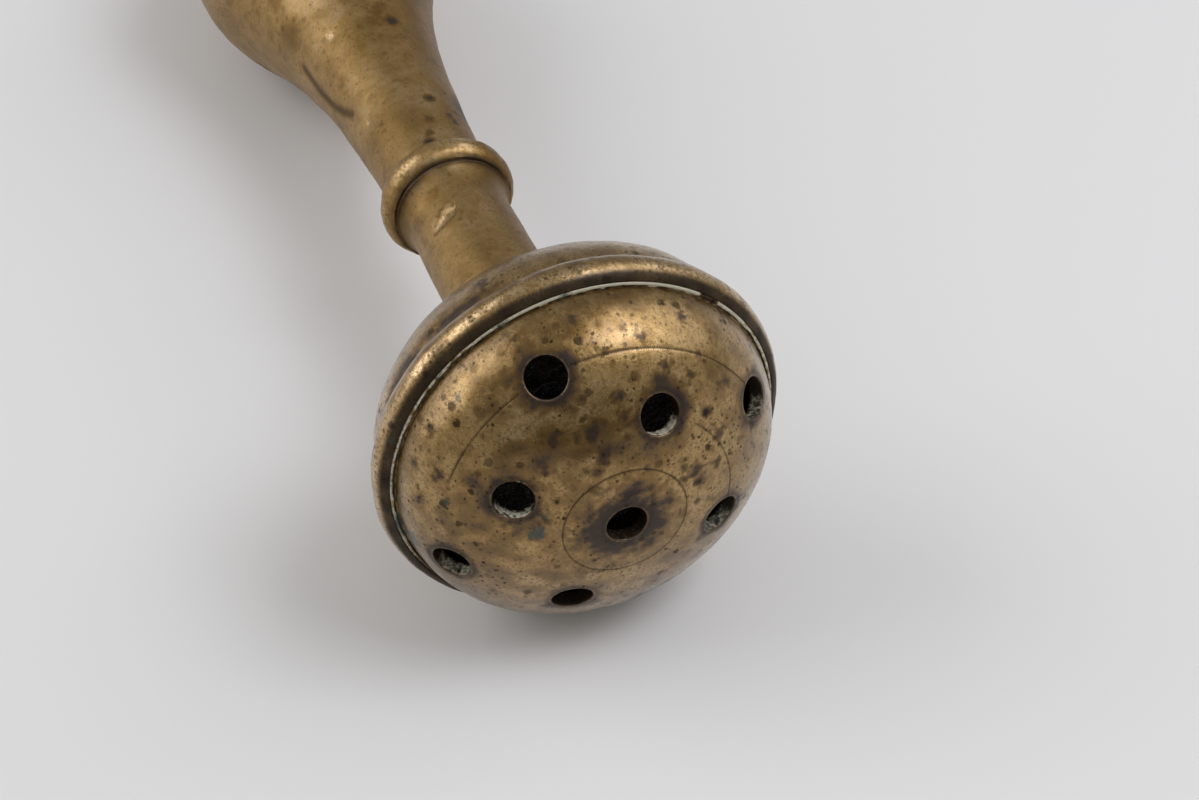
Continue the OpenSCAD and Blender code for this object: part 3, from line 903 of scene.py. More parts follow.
def dome_skin(p, rx, rz, loops, step, columns, lines):
    """One skin of the dome: rings of points, the loops round each hole and the rim, joined by triangles.

    loops holds, for each hole, its rows of loop points from the hole's edge outwards. The points are
    spread flat, triangulated there and kept in their round places; what lies in a hole is left out.
    """
    rings, close, edge = dome_rings(rx, rz, p.z_dome, step, columns, lines, p.scribe_w)
    keep = np.ones(len(rings), bool)
    for (r, angle, *_), rows in zip(dome_holes(p), loops):
        middle, axis, *_ = drill_frame(p, r, angle)
        off = rings - middle
        off -= (off @ axis)[:, None] * axis
        reach = np.linalg.norm(rows[-1][0] - middle)
        inner = np.linalg.norm(rows[0][0] - middle)
        room = np.where(close, inner + 0.1 * MM, reach + 0.5 * step)
        keep &= np.linalg.norm(off, axis=1) > room
    blocks = [edge] + [row for rows in loops for row in rows] + [rings[keep]]
    points = np.concatenate(blocks)
    starts = np.cumsum([0] + [len(b) for b in blocks])
    holes_of = np.full(len(points), -1)
    rims = []
    block = 1
    for number, rows in enumerate(loops):
        holes_of[starts[block] : starts[block + 1]] = number
        rims.append((starts[block], len(rows[0])))
        block += len(rows)
    rounds = [(0, columns)] + rims
    edges = np.concatenate([np.stack([s + np.arange(n), s + (np.arange(n) + 1) % n], 1) for s, n in rounds])
    flat = dome_flat(points, rx, rz, p.z_dome) / MM
    found = delaunay_2d_cdt([Vector(q) for q in flat], edges.tolist(), [], 0, 1e-9)
    if len(found[0]) != len(points):
        raise RuntimeError("the dome's points don't triangulate one to one")
    faces = np.array(found[2])
    of = holes_of[faces]
    inside = (of[:, 0] >= 0) & (of[:, 0] == of[:, 1]) & (of[:, 1] == of[:, 2])
    return points, faces[~inside]


def hole_loop(p, r, angle, seed, radius, drop, skin, count=64):
    """A loop of points round a hole at a radius from its axis, a drop below one skin of the dome.
    The radius wavers a little, as a hand-driven drill leaves it."""
    rng = np.random.default_rng(seed)
    turn = np.arange(count) * TURN / count
    waver = sum(rng.uniform(-1, 1) / k * np.cos(k * turn + rng.uniform(0, TURN)) for k in (2, 3, 5))
    middle, axis, along, across = drill_frame(p, r, angle)
    ring = np.cos(turn)[:, None] * along + np.sin(turn)[:, None] * across
    start = middle + (radius + 0.05 * MM * waver)[:, None] * ring
    return on_ellipsoid(start, np.broadcast_to(axis, start.shape), *skin) - drop * axis


# What is left of each scribed circle, from the centre outwards: the middle of each stretch, how far to both
# sides of it the line is whole and where it ends, all in degrees, and its strength
SCRIBED = (
    ((0, 180, 360, 1.0),),
    ((105, 28, 36, 1.0), (170, 8, 16, 0.5)),
    ((155, 38, 46, 1.0), (228, 17, 26, 1.0)),
)


def scribe_depth(points, p):
    """How deep the scribed circles lie at each point, from 0 to 1, with the stretches that are worn away."""
    r = radius_of(points)
    depth = 0
    for radius, stretches in zip(p.scribed_r, SCRIBED):
        line = np.clip((0.4 - np.abs(r - radius) / p.scribe_w) / 0.23, 0, 1)
        for middle, whole, end, strength in stretches:
            depth = np.maximum(depth, strength * sector(points, middle, whole, end) * line)
    return depth


# Stains, spots and green places on the dome: radius in mm, angle, size in mm, channel and strength
DOME_MARKS = (
    (15.7, 210, 2.0, STAIN_AND_SHADE, 1.0),
    (14.2, 194, 2.4, STAIN_AND_SHADE, 1.0),
    (11.2, 191, 2.0, STAIN_AND_SHADE, 1.0),
    (9.3, 200, 1.3, STAIN_AND_SHADE, 0.9),
    (14.1, 222, 1.7, STAIN_AND_SHADE, 0.95),
    (22.6, 210, 1.8, STAIN_AND_SHADE, 0.8),
    (22.1, 220, 2.0, STAIN_AND_SHADE, 0.7),
    (22.3, 249, 1.3, STAIN_AND_SHADE, 1.0),
    (23.3, 261, 1.1, STAIN_AND_SHADE, 0.9),
    (24.1, 251, 1.0, STAIN_AND_SHADE, 0.9),
    (24.0, 238, 1.3, STAIN_AND_SHADE, 0.85),
    (24.0, 185, 1.1, STAIN_AND_SHADE, 0.9),
    (24.3, 202, 0.9, STAIN_AND_SHADE, 0.9),
    (22.2, 166, 1.2, STAIN_AND_SHADE, 0.9),
    (19.7, 158, 1.2, STAIN_AND_SHADE, 1.0),
    (17.1, 178, 1.3, STAIN_AND_SHADE, 1.0),
    (14.8, 176, 1.2, STAIN_AND_SHADE, 0.9),
    (23.7, 151, 1.1, STAIN_AND_SHADE, 0.95),
    (24.3, 157, 0.8, STAIN_AND_SHADE, 0.9),
    (20.0, 131, 1.6, STAIN_AND_SHADE, 0.85),
    (16.3, 133, 1.2, STAIN_AND_SHADE, 0.95),
    (15.3, 120, 1.2, STAIN_AND_SHADE, 0.9),
    (19.2, 147, 0.9, STAIN_AND_SHADE, 0.9),
    (21.2, 145, 0.7, STAIN_AND_SHADE, 0.9),
    (10.9, 251, 1.2, STAIN_AND_SHADE, 1.0),
    (10.6, 115, 1.7, STAIN_AND_SHADE, 1.0),
    (10.4, 104, 1.3, STAIN_AND_SHADE, 0.9),
    (13.1, 107, 1.1, STAIN_AND_SHADE, 0.9),
    (9.6, 125, 1.0, STAIN_AND_SHADE, 0.9),
    (18.0, 256, 4.0, STAIN_AND_SHADE, 0.60),
    (20.5, 267, 4.2, STAIN_AND_SHADE, 0.60),
    (17.0, 280, 4.0, STAIN_AND_SHADE, 0.45),
    (12.2, 254, 3.6, STAIN_AND_SHADE, 0.75),
    (12.0, 158, 3.4, STAIN_AND_SHADE, 0.80),
    (8.5, 322, 3.2, STAIN_AND_SHADE, 0.60),
    (9.0, 226, 4.6, STAIN_AND_SHADE, 0.50),
    (9.9, 168, 3.0, STAIN_AND_SHADE, 0.55),
    (10.0, 295, 4.0, STAIN_AND_SHADE, 0.45),
    (13.0, 186, 3.0, STAIN_AND_SHADE, 0.60),
    (6.0, 184, 2.4, STAIN_AND_SHADE, 0.60),
    (10.9, 264, 2.0, STAIN_AND_SHADE, 0.75),
    (10.9, 264, 1.5, GREEN, 0.85),
    (10.7, 250, 0.9, GREEN, 0.6),
    (21.1, 257, 1.1, GREEN, 0.65),
    (24.1, 184, 0.6, GREEN, 0.6),
    (24.1, 203, 0.7, GREEN, 0.6),
    (23.9, 225, 0.8, GREEN, 0.7),
    (24.3, 281, 2.2, GREEN, 0.85),
)
# The run of a broad band of painted shade over the dome, laid in as brown stain: radius in mm and angle
DOME_SHADE_BAND = ((19, 256), (18, 240), (16.5, 223), (14, 203), (12.5, 186), (11.8, 168), (12, 150))
# Green places in the seam round the dome: angle, half width in degrees and strength
SEAM_GREEN = (
    (184, 2.0, 0.9), (203, 2.5, 0.9), (226, 2.0, 0.6), (262, 5.0, 0.5), (281, 7.0, 1.0), (127, 2.0, 0.4),
)
# The tarnish round the centre hole and round the others: width in mm, strength and raggedness of its edge
CENTRE_HALO = (4.4, 1.12, 0.12)
OTHER_HALO = (1.8, 1.0, 0.28)
# Stains on the dome smaller than this, in mm, are dirty spots
SPOT_SIZE = 2.5
# The lower side of the dome, dulled by tarnish and by painted shade that dims the floor's reflection there: its
# middle, and how far from it the dulling is whole and ends, in degrees
DOME_LOW_TARNISH_AND_SHADE = (335, 60, 105)
# Angles where the deposit in the seam is broadest, where it is almost gone and where it is broken
SEAM_BROAD, SEAM_BARE, SEAM_BREAK = 165, 322, 138.5


def on_dome(p, r, angle):
    """The point of the dome at a radius in mm and an angle in degrees."""
    return polar(r * MM, angle, p.z_dome + p.dome_h * math.sqrt(1 - (r * MM / p.dome_r) ** 2))


def dome_weather(points, p):
    """Weathering of the dome's outside: tarnish, halos round the holes, stains, spots and scribed lines, with
    painted shade in a broad band and, with tarnish, on its lower side.
    """
    r = radius_of(points)
    rough = waves(points, 1.6 * MM, 41)
    cloudy = waves(points, 5 * MM, 43)
    # Painted shade: a broad band darkened through the stain channel
    shade_band = streak(points, [on_dome(p, *stop) for stop in DOME_SHADE_BAND], 5 * MM)
    # The lower side is dulled partly by tarnish and partly by painted shade that dims the floor's reflection
    low = smooth(r, 4 * MM, 8 * MM) * sector(points, *DOME_LOW_TARNISH_AND_SHADE)
    layers = blank(points)
    layers[STAIN_AND_SHADE] += np.clip(0.64 * shade_band + 0.42 * low, 0, 0.68) * np.clip(0.8 + 0.35 * cloudy, 0.1, 1.5)
    layers[GRIME_AND_SHADE] += 0.8 * scribe_depth(points, p)
    for number, (hole_r, hole_a, (_, _, rim, halo)) in enumerate(dome_holes(p)):
        middle, axis, *_ = drill_frame(p, hole_r, hole_a)
        off = points - middle
        off = off - (off @ axis)[..., None] * axis
        reach = np.linalg.norm(off, axis=-1) - p.hole_d / 2
        width, strength, ragged = OTHER_HALO if number else CENTRE_HALO
        edge = reach / (width * MM) + 0.12 * rough + ragged * cloudy
        over(layers, STAIN_AND_SHADE, strength * halo * (1 - smooth(edge, -0.1, 1.6)))
        over(layers, GRIME_AND_SHADE, 0.5 * hump(reach, 0.55 * MM, 0.3 * MM))
        if number == 0:
            over(layers, GRIME_AND_SHADE, 0.25 * (1 - smooth(edge, 0.0, 1.2)))
        over(layers, DEPOSIT, rim * hump(reach, 0.12 * MM, 0.16 * MM))
    for number, (mark_r, mark_a, size, channel, strength) in enumerate(DOME_MARKS):
        spread = strength * blot(points, on_dome(p, mark_r, mark_a), size * MM, 60 + number)
        if channel == STAIN_AND_SHADE and size < SPOT_SIZE:
            over(layers, GRIME_AND_SHADE, 0.3 * spread**2)
            spread = 0.85 * spread
        over(layers, channel, spread)
    over(layers, STAIN_AND_SHADE, 0.8 * pocks(points, 170, 0.25 * MM, 0.8 * MM, 19))
    over(layers, GRIME_AND_SHADE, 0.55 * dome_pits(points))
    over(layers, GRIME_AND_SHADE, 0.3 * smooth(r, p.dome_r - 0.5 * MM, p.dome_r - 0.05 * MM))
    return weathered(points, *layers)


def dome_pits(points):
    """Pits of the casting on the dome, from 0 to 1."""
    return pocks(points, 120, 0.25 * MM, 0.7 * MM, 17)


def seam_weather(base, p):
    """Weathering of the ledge and its deposit: a dark foot, then a pale dry line with green places, and a gap
    darkened with painted shade.
    The line is broad and bright over the top of the dome, and thin, grey and broken down both sides."""
    r, angle = radius_of(base), angle_of(base)
    thin = smooth(apart(angle, SEAM_BROAD), 22, 60)
    edge = p.dome_r + (0.14 + 0.16 * thin + 0.06 * waves(base, 1.7 * MM, 45)) * MM
    crust = smooth(r - edge, 0, 0.14 * MM) * (0.15 + 0.85 * smooth(apart(angle, SEAM_BARE), 22, 36))
    crust = crust * smooth(apart(angle, SEAM_BREAK), 2.5, 5)
    flaky = (0.1 + 0.12 * thin) * waves(base, 1.3 * MM, 46)
    deposit = crust * np.clip(0.95 - 0.32 * thin + flaky, 0.1, 1)
    green = sum(strength * hump(apart(angle, middle), 0, wide) for middle, wide, strength in SEAM_GREEN)
    green = np.maximum(green, 0.3 * thin)
    # Where no deposit lies, the grime darkens the dome's foot and paints shade down the gap beside the bead
    return weathered(base, 0.85 * (1 - crust), 0, deposit * (1 - 0.5 * np.clip(green, 0, 1)), 0.2, green)


def hole_loops(p, steps, worn, skin):
    """For each hole, its loops of points on one skin of the dome, so many mm out from its worn edge."""
    radii = [p.hole_d / 2 + worn + step * MM for step in steps]
    return [
        [hole_loop(p, r, angle, HOLE_SEED + number, radius, 0, skin) for radius in radii]
        for number, (r, angle, _) in enumerate(dome_holes(p))
    ]


def hole_wall(p, number, top, floor, skin):
    """The wall of a hole and its weathering: from its edge on the outer skin over a worn round rim, then
    straight down to the inner skin, with painted shade deepening down the wall and a crust on its lower side."""
    r, angle, (crust, bloom, rim, _) = dome_holes(p)[number]
    rows = [top]
    for t in np.linspace(0, math.pi / 2, 5)[1:]:
        radius, drop = p.hole_d / 2 + p.rim_round * (1 - math.sin(t)), p.rim_round * (1 - math.cos(t))
        rows.append(hole_loop(p, r, angle, HOLE_SEED + number, radius, drop, skin))
    rows += [rows[-1] + (floor - rows[-1]) * part for part in (0.25, 0.5, 0.75, 1.0)]
    wall = np.stack(rows)
    blotch = np.clip(0.85 + 0.25 * waves(wall, 1.1 * MM, 90 + number), 0, 1)
    depth = np.linspace(0, 1, len(rows))[:, None]
    _, _, along, across = drill_frame(p, r, angle)
    turn = np.arange(wall.shape[1]) * TURN / wall.shape[1]
    lower = smooth(np.cos(turn) * along[0] + np.sin(turn) * across[0], 0.1, 0.75)
    scale = crust * lower * blotch * smooth(depth, 0.30, 0.5) + rim * hump(depth, 0.1, 0.2)
    # Painted shade: the wall darkens deeper down the hole, less where crust or bloom lies
    dirt = 0.9 * smooth(depth, 0.2, 0.6) * (1 - 0.9 * scale) * (1 - 0.6 * bloom)
    worn = 0.3 * hump(depth, 0.15, 0.2)
    return wall, weathered(wall, dirt, worn, scale, 0.8, bloom * smooth(depth, 0.2, 0.5))


def dome_collar(p):
    """The ledge, flange and threaded skirt between the feet of the dome's two skins, and their weathering."""
    crust_r = p.flange_r + p.seam_fill
    inside_r = p.dome_r - p.dome_wall
    ledge = [(p.dome_r, p.z_dome)] + [(p.dome_r + r * MM, p.z_dome + z * MM) for r, z in LEDGE_FOOT]
    ledge += [(crust_r + r * MM, p.z_dome + z * MM) for r, z in LEDGE_CRUST]
    ledge += [(p.flange_r, p.z_dome + LEDGE_END * MM), (p.flange_r, p.z_flange)]
    outline = chain(
        dressed(soften(ledge, 0.05 * MM, 2), 0.2 * MM, 0.6),
        dressed([(p.flange_r, p.z_flange), (p.skirt_r, p.z_flange)], 0.6 * MM, 0.5),
        dressed([(p.skirt_r, p.z_flange), (p.skirt_r, p.z_skirt_end)], p.dome_pitch / THREAD_ROWS, 0.3, 0.3),
        dressed([(p.skirt_r, p.z_skirt_end), (p.skirt_bore_r, p.z_skirt_end)], 0.5 * MM, 0.4),
        dressed([(p.skirt_bore_r, p.z_skirt_end), (p.skirt_bore_r, p.z_dome)], 0.8 * MM, 0.7),
        dressed([(p.skirt_bore_r, p.z_dome), (inside_r, p.z_dome)], 0.8 * MM, 0.7),
    )[::-1]
    base, _ = turned_grid(outline, COLUMNS["dome"])
    skirt = np.abs(outline[:, 0] - p.skirt_r) < WELD
    ridge = thread_ridge(base, p, p.dome_pitch, p.z_dome_thread, p.dome_thread_len) * skirt[:, None]
    out = base * np.array([1, 1, 0])
    out /= np.linalg.norm(out, axis=-1)[..., None]
    plain = weathered(base, outline[:, 2, None], outline[:, 3, None], 0.1, 0.2)
    on_ledge = (base[..., 2] > p.z_dome - 0.65 * MM) & (outline[:, 0, None] > p.dome_r - WELD)
    return base + ridge[..., None] * out, np.where(on_ledge[..., None], seam_weather(base, p), plain)


class ASPERGILLUM_OT_dome(Operator):
    """Pierced dome: two drilled skins, worn hole rims, a ledge and a threaded skirt, welded into one shell"""

    bl_idname = "aspergillum.dome"
    bl_label = "Pierced dome"

    def execute(self, context):
        p = read_sizes()
        columns = COLUMNS["dome"]
        outside = (p.dome_r, p.dome_h, p.z_dome)
        inside = (p.dome_r - p.dome_wall, p.dome_h - p.dome_wall, p.z_dome)
        rims = hole_loops(p, OUTER_LOOPS, p.rim_round, outside)
        backs = hole_loops(p, INNER_LOOPS, 0, inside)
        outer, outer_faces = dome_skin(p, *outside[:2], rims, OUTER_STEP * MM, columns, p.scribed_r)
        inner, inner_faces = dome_skin(p, *inside[:2], backs, INNER_STEP * MM, columns, ())

        pitted = -0.06 * MM * dome_pits(outer) - p.scribe_w / 7 * scribe_depth(outer, p)
        inward = smooth(p.dome_r - radius_of(outer), 0, 0.6 * MM)
        uneven = inward * (hand_worn(outer, 11) + pitted)
        skin = outer + uneven[:, None] * dome_normal(outer, *outside)
        blocks = [skin, inner]
        weather = [dome_weather(outer, p), weathered(inner, 0.85, 0, 0.1, 0.4)]
        faces = [outer_faces, len(outer) + inner_faces[:, ::-1]]

        def add_grid(points, marks, flip):
            quads = grid_quads(*points.shape[:2], False, sum(len(block) for block in blocks))
            faces.append(quads[:, ::-1] if flip else quads)
            blocks.append(points.reshape(-1, 3))
            weather.append(marks.reshape(-1, CHANNELS))

        first = columns
        for number, loops in enumerate(rims):
            top = skin[first : first + len(loops[0])]
            add_grid(*hole_wall(p, number, top, backs[number][0], outside), flip=True)
            first += sum(len(loop) for loop in loops)
        add_grid(*dome_collar(p), flip=False)
        piece = make_piece("pierced_dome", lay(np.concatenate(blocks)), faces, np.concatenate(weather))
        seat(piece, old_brass, "dome", "brass", "sieve_dome")
        return {"FINISHED"}


# Stains and green places on the bowl: radius in mm, angle, height and size in mm, channel, strength and seed
BOWL_MARKS = (
    (24.8, 203, 172.1, 1.5, STAIN_AND_SHADE, 0.85, 31),
    (25.2, 180, 174.4, 1.0, STAIN_AND_SHADE, 0.6, 32),
    (24.9, 187, 173.2, 1.0, GREEN, 0.6, 33),
    (26.2, 250, 179.8, 0.9, GREEN, 0.6, 35),
)
# The brown stretch behind the bead: its middle, and how far from it the brown is whole and ends, in degrees
BOWL_BROWN = (224, 18, 34)


class ASPERGILLUM_OT_bowl(Operator):
    """Bowl: a half ellipse with a round bead on its rim, a rebate for the dome and a threaded mouth"""

    bl_idname = "aspergillum.bowl"
    bl_label = "Beaded bowl"

    def execute(self, context):
        p = read_sizes()
        bolt_r = p.bolt_d / 2 + p.bolt_gap
        middle = (0, p.z_bowl_arc)
        start = -math.asin((p.z_bowl_arc - p.z_bowl) / p.bowl_rise)
        bead_from = -math.asin(p.bead_w / 2 / p.bead_rho)
        bead_to = math.acos((p.rebate_r - p.bead_centre_r) / p.bead_rho)
        bead = arc((p.bead_centre_r, p.z_bead), p.bead_rho, p.bead_rho, bead_from, bead_to, 40)
        band = [(p.bowl_r, p.z_bowl_arc), (p.bowl_r, p.z_bead_back)]
        rebate = [bead[-2], (p.rebate_r, bead[-1][1]), (p.rebate_r, p.z_bead), (p.mouth_r, p.z_bead)]
        mouth = [(p.mouth_r, p.z_bead), (p.mouth_r, p.z_mouth_end)]
        mouth_at = -math.asin((p.z_bowl_arc - p.z_mouth_end) / p.cavity_rise)
        floor_at = -math.asin((p.z_bowl_arc - p.z_floor) / p.cavity_rise)
        outline = chain(
            dressed([(bolt_r, p.z_bowl), (p.neck_top_d / 2, p.z_bowl)], 0.8 * MM, 0.6),
            dressed(
                arc(middle, p.bowl_r, p.bowl_rise, start, 0, 60),
                0.6 * MM,
                lambda t: 0.8 * hump(t, 0, 0.03),
                lambda t: 0.25 * hump(t, 0.5, 0.3),
            ),
            # Painted shade: the grime here darkens the crease behind the bead
            dressed(band, 0.2 * MM, lambda t: 0.7 * hump(t, 1, 0.3)),
            dressed(
                bead,
                0.3 * MM,
                # Painted shade darkens the crease at the bead's back, and its inner slope down towards the dome
                lambda t: 0.7 * hump(t, 0, 0.04) + 0.95 * smooth(t, 0.68, 0.84),
                # The wear along the bead's crest is real wear and a painted highlight together
                lambda t: 0.95 * hump(t, 0.62, 0.13),
            ),
            # Painted shade: the grime in the rebate darkens the gap beside the dome
            dressed(soften(rebate, 0.2 * MM), 0.4 * MM, 0.9),
            dressed(mouth, p.dome_pitch / THREAD_ROWS, 0.4, 0.2),
            dressed(arc(middle, p.cavity_r, p.cavity_rise, mouth_at, floor_at, 30), 0.8 * MM, 0.7),
            dressed([(p.cavity_r * math.cos(floor_at), p.z_floor), (bolt_r, p.z_floor)], 0.8 * MM, 0.7),
            dressed([(bolt_r, p.z_floor), (bolt_r, p.z_bowl)], 0.8 * MM, 0.7)[:-1],
        )
        turned_out = int(np.argmax(outline[:, 1]))

        def shift(base):
            r = radius_of(base)
            outer = (row_of(base) < turned_out) & (r > p.neck_top_d / 2 + 0.2 * MM)
            wall = (row_of(base) > turned_out) & (np.abs(r - p.mouth_r) < WELD)
            run = p.dome_thread_len - p.dome_pitch / 2
            ridge = thread_ridge(base, p, p.dome_pitch, p.z_dome_thread + p.dome_pitch / 2, run)
            on_bead = smooth(base[..., 2], p.z_bead_back + 0.3 * MM, p.z_bead_back + MM)
            uneven = hand_worn(base, 21) - (0.03 + 0.04 * on_bead) * MM * pits(base)
            return np.where(outer, uneven - 0.05 * MM, 0) + wall * ridge

        def pits(base):
            return pocks(base, 520, 0.2 * MM, 0.6 * MM, 23)

        def weather(base, grime, wear):
            ragged = waves(base, 5 * MM, 27)
            rough = waves(base, 1.8 * MM, 29)
            shown = row_of(base) <= turned_out
            behind = hump(base[..., 2], p.z_bead_back - 0.9 * MM, 1.1 * MM)
            behind = behind * sector(base, *BOWL_BROWN)
            on_bead = smooth(base[..., 2], p.z_bead_back, p.z_bead_back + 0.5 * MM)
            cloudy = (0.12 * ragged + 0.1 * rough) * (1 - grime)
            stain = np.clip(0.8 * behind + 0.2 * on_bead + cloudy, 0, 1) * shown * (1 - 0.8 * wear)
            layers = blank(base)
            layers[STAIN_AND_SHADE] += stain
            for r, angle, z, size, channel, strength, seed in BOWL_MARKS:
                over(layers, channel, strength * blot(base, polar(r * MM, angle, z * MM), size * MM, seed))
            # The grime column carries dirt, and the painted shade behind, on and beside the bead
            layers[GRIME_AND_SHADE] += grime * (0.95 + 0.03 * ragged)
            over(layers, GRIME_AND_SHADE, 0.5 * pits(base) * (radius_of(base) > p.cavity_r))
            layers[WEAR_AND_GLINT] += wear * np.clip(0.7 + 0.4 * ragged, 0, 1)
            return weathered(base, *layers)

        piece = turned_piece("beaded_bowl", outline, COLUMNS["bowl"], shift, weather)
        seat(piece, old_brass, "head", "brass", "head_bowl")
        return {"FINISHED"}


# The two ends of the nick in the neck: angle and height in mm above the neck's foot
NECK_NICK = ((193, 7.2), (237, 10.0))
# The painted shade, laid in as brown stain, on the flank of the neck and of the handle that faces away from the
# lights, and the green side of the neck's foot:
# the middle of each, and how far from it the colour is whole and ends, in degrees
NECK_SHADED_FLANK = (120, 15, 60)
HANDLE_SHADED_FLANK = (115, 15, 60)
NECK_GREEN = (130, 20, 60)
# How strong the painted shade on those flanks is
FLANK_SHADE = 0.52


class ASPERGILLUM_OT_neck(Operator):
    """Neck: a straight turned stem with a flared foot, a threaded tenon below and a bolt above"""

    bl_idname = "aspergillum.neck"
    bl_label = "Neck"

    def execute(self, context):
        p = read_sizes()
        tip = p.z_neck - p.tenon_len
        top = p.z_nut_top + p.fit_gap
        tenon_r, bolt_r = p.tenon_d / 2, p.bolt_d / 2
        flare_at = (p.seat_r, p.z_neck + p.flare_h)
        flare = arc(flare_at, p.seat_r - p.neck_d / 2, p.flare_h, 1.5 * math.pi, math.pi, 24)
        foot = np.concatenate([[(tenon_r, p.z_neck), (p.seat_r, p.z_neck)], flare[4:5]])
        outline = chain(
            dressed(soften([(0, tip), (tenon_r, tip), (tenon_r, tip + MM)], 0.3 * MM), 0.5 * MM, 0.3),
            dressed([(tenon_r, tip + MM), (tenon_r, p.z_neck)], p.stem_pitch / THREAD_ROWS, 0.3, 0.3),
            dressed(soften(foot, 0.25 * MM), 0.25 * MM, lambda t: 0.9 - 0.3 * t),
            dressed(flare[4:], 0.4 * MM, lambda t: 0.6 * (1 - t) ** 2),
            dressed(
                [(p.neck_d / 2, p.z_neck + p.flare_h), (p.neck_top_d / 2, p.z_bowl)],
                0.45 * MM,
                lambda t: 0.85 * hump(t, 1, 0.018),
                0.1,
            ),
            dressed([(p.neck_top_d / 2, p.z_bowl), (bolt_r, p.z_bowl)], 0.8 * MM, 0.6),
            dressed(soften([(bolt_r, p.z_bowl), (bolt_r, top), (0, top)], 0.3 * MM), 0.8 * MM, 0.5),
        )
        nick = [polar(p.neck_d / 2, angle, p.z_neck + z * MM) for angle, z in NECK_NICK]

        def hurt(base):
            """A kite-shaped nick: 0 along its middle line and 1 at its edge."""
            way = nick[1] - nick[0]
            t = np.clip((base - nick[0]) @ way / (way @ way), 0.01, 0.99)
            off = np.linalg.norm(base - nick[0] - t[..., None] * way, axis=-1)
            bow = 0.45 * MM * np.sin(math.pi * t)
            return np.maximum(off - bow, 0) / (1.2 * MM * np.minimum(t / 0.3, (1 - t) / 0.7))

        def shift(base):
            r = radius_of(base)
            z = base[..., 2]
            shown = (z > p.z_neck + 0.4 * MM) & (z < p.z_bowl - 0.3 * MM)
            tenon = (np.abs(r - tenon_r) < WELD) & (z < p.z_neck)
            ridge = thread_ridge(base, p, p.stem_pitch, p.z_tenon_thread, p.tenon_thread_len)
            cut = np.maximum(0, 1 - hurt(base))
            pits = pocks(base, 110, 0.25 * MM, 0.6 * MM, 53)
            uneven = hand_worn(base, 51) - 0.05 * MM * pits - 0.32 * MM * cut
            return np.where(shown, uneven, 0) + np.where(tenon, ridge, 0)

        def weather(base, grime, wear):
            ragged = waves(base, 5 * MM, 55)
            band = hump(base[..., 2], p.z_neck + 2.6 * MM, 1.8 * MM) * (0.2 + 0.15 * ragged)
            nicked = hurt(base)
            edge = hump(nicked, 1.0, 0.3)
            green = 0.6 * smooth(-ragged, 0.8, 1.6) * hump(base[..., 2], p.z_neck + MM, 1.2 * MM)
            green *= sector(base, *NECK_GREEN)
            flecks = 0.6 * edge * np.clip(0.6 + 0.5 * waves(base, 0.8 * MM, 57), 0, 1)
            dirt = np.maximum(patchy(grime, ragged), flecks)
            bright = np.maximum(wear, 0.9 * (1 - smooth(nicked, 0.3, 0.8)))
            # Painted shade on the flank that faces away from the lights
            flank = FLANK_SHADE * sector(base, *NECK_SHADED_FLANK)
            stain = np.maximum(np.maximum(band, flank), 0.3 * edge)
            return weathered(base, dirt, bright, 0, stain, green)

        piece = turned_piece("neck_stem", outline, COLUMNS["neck"], shift, weather, closed=False)
        seat(piece, handled_brass, "head", "brass", "neck")
        return {"FINISHED"}


# Marks on the handle: height in mm, angle, size in mm, channel and strength. The two wear marks, over small dents,
# are painted glints
HANDLE_MARKS = (
    (91.4, 220, 1.1, WEAR_AND_GLINT, 1.0),
    (109.7, 237, 0.7, WEAR_AND_GLINT, 1.0),
    (93.5, 165, 1.7, STAIN_AND_SHADE, 0.95),
    (111.7, 163, 1.3, STAIN_AND_SHADE, 1.0),
    (115.6, 149, 1.2, STAIN_AND_SHADE, 0.9),
    (116.8, 145, 1.2, STAIN_AND_SHADE, 0.9),
    (121.5, 187, 1.3, STAIN_AND_SHADE, 1.0),
    (116.5, 175, 1.2, STAIN_AND_SHADE, 0.7),
    (119.5, 182, 1.0, STAIN_AND_SHADE, 0.6),
    (84.0, 249, 4.0, STAIN_AND_SHADE, 0.55),
    (78.0, 238, 3.4, STAIN_AND_SHADE, 0.45),
    (101.0, 123, 2.4, STAIN_AND_SHADE, 0.55),
    (104.5, 118, 1.8, STAIN_AND_SHADE, 0.55),
    (62.0, 60, 3.6, STAIN_AND_SHADE, 0.6),
    (70.0, 310, 3.0, STAIN_AND_SHADE, 0.6),
    (46.0, 150, 3.6, STAIN_AND_SHADE, 0.6),
    (38.0, 230, 2.6, STAIN_AND_SHADE, 0.6),
)
# The hidden inside of the handle follows one in so many of the outside's points
HOLLOW_SKIP = 6
# A crease along the handle, sunk a little and darkened with painted shade: height in mm and angle
HANDLE_CREASE = ((89, 262), (92, 264.5), (95.3, 266), (99.3, 264), (102.5, 257), (105.2, 248))


def handle_outline(p):
    """Outline of the handle from its end ring to its neck ring, as radius and height."""
    pull = p.tail_len * TAIL_PULL_TOP
    tail = cubic(
        [
            (p.tail_d / 2, p.z_end_ring),
            (p.tail_d / 2, p.z_end_ring + p.tail_len * TAIL_PULL_END),
            (p.bulb_d / 2, p.z_bulb - pull),
            (p.bulb_d / 2, p.z_bulb),
        ],
        60,
    )
    reach = p.z_ring - p.shaft_len * SHAFT_PULL
    shaft = cubic(
        [
            (p.bulb_d / 2, p.z_bulb),
            (p.bulb_d / 2, reach),
            ((p.shaft_d + p.shaft_swell) / 2, reach),
            (p.shaft_d / 2, p.z_ring),
        ],
        110,
    )
    whole = np.concatenate([tail, shaft[1:]])
    half = np.sqrt(np.maximum(0, p.ring_rho**2 - (whole[:, 0] - p.ring_centre_r) ** 2))
    clear = (whole[:, 1] > p.z_end_ring + half) & (whole[:, 1] < p.z_ring - half)
    return whole[clear]


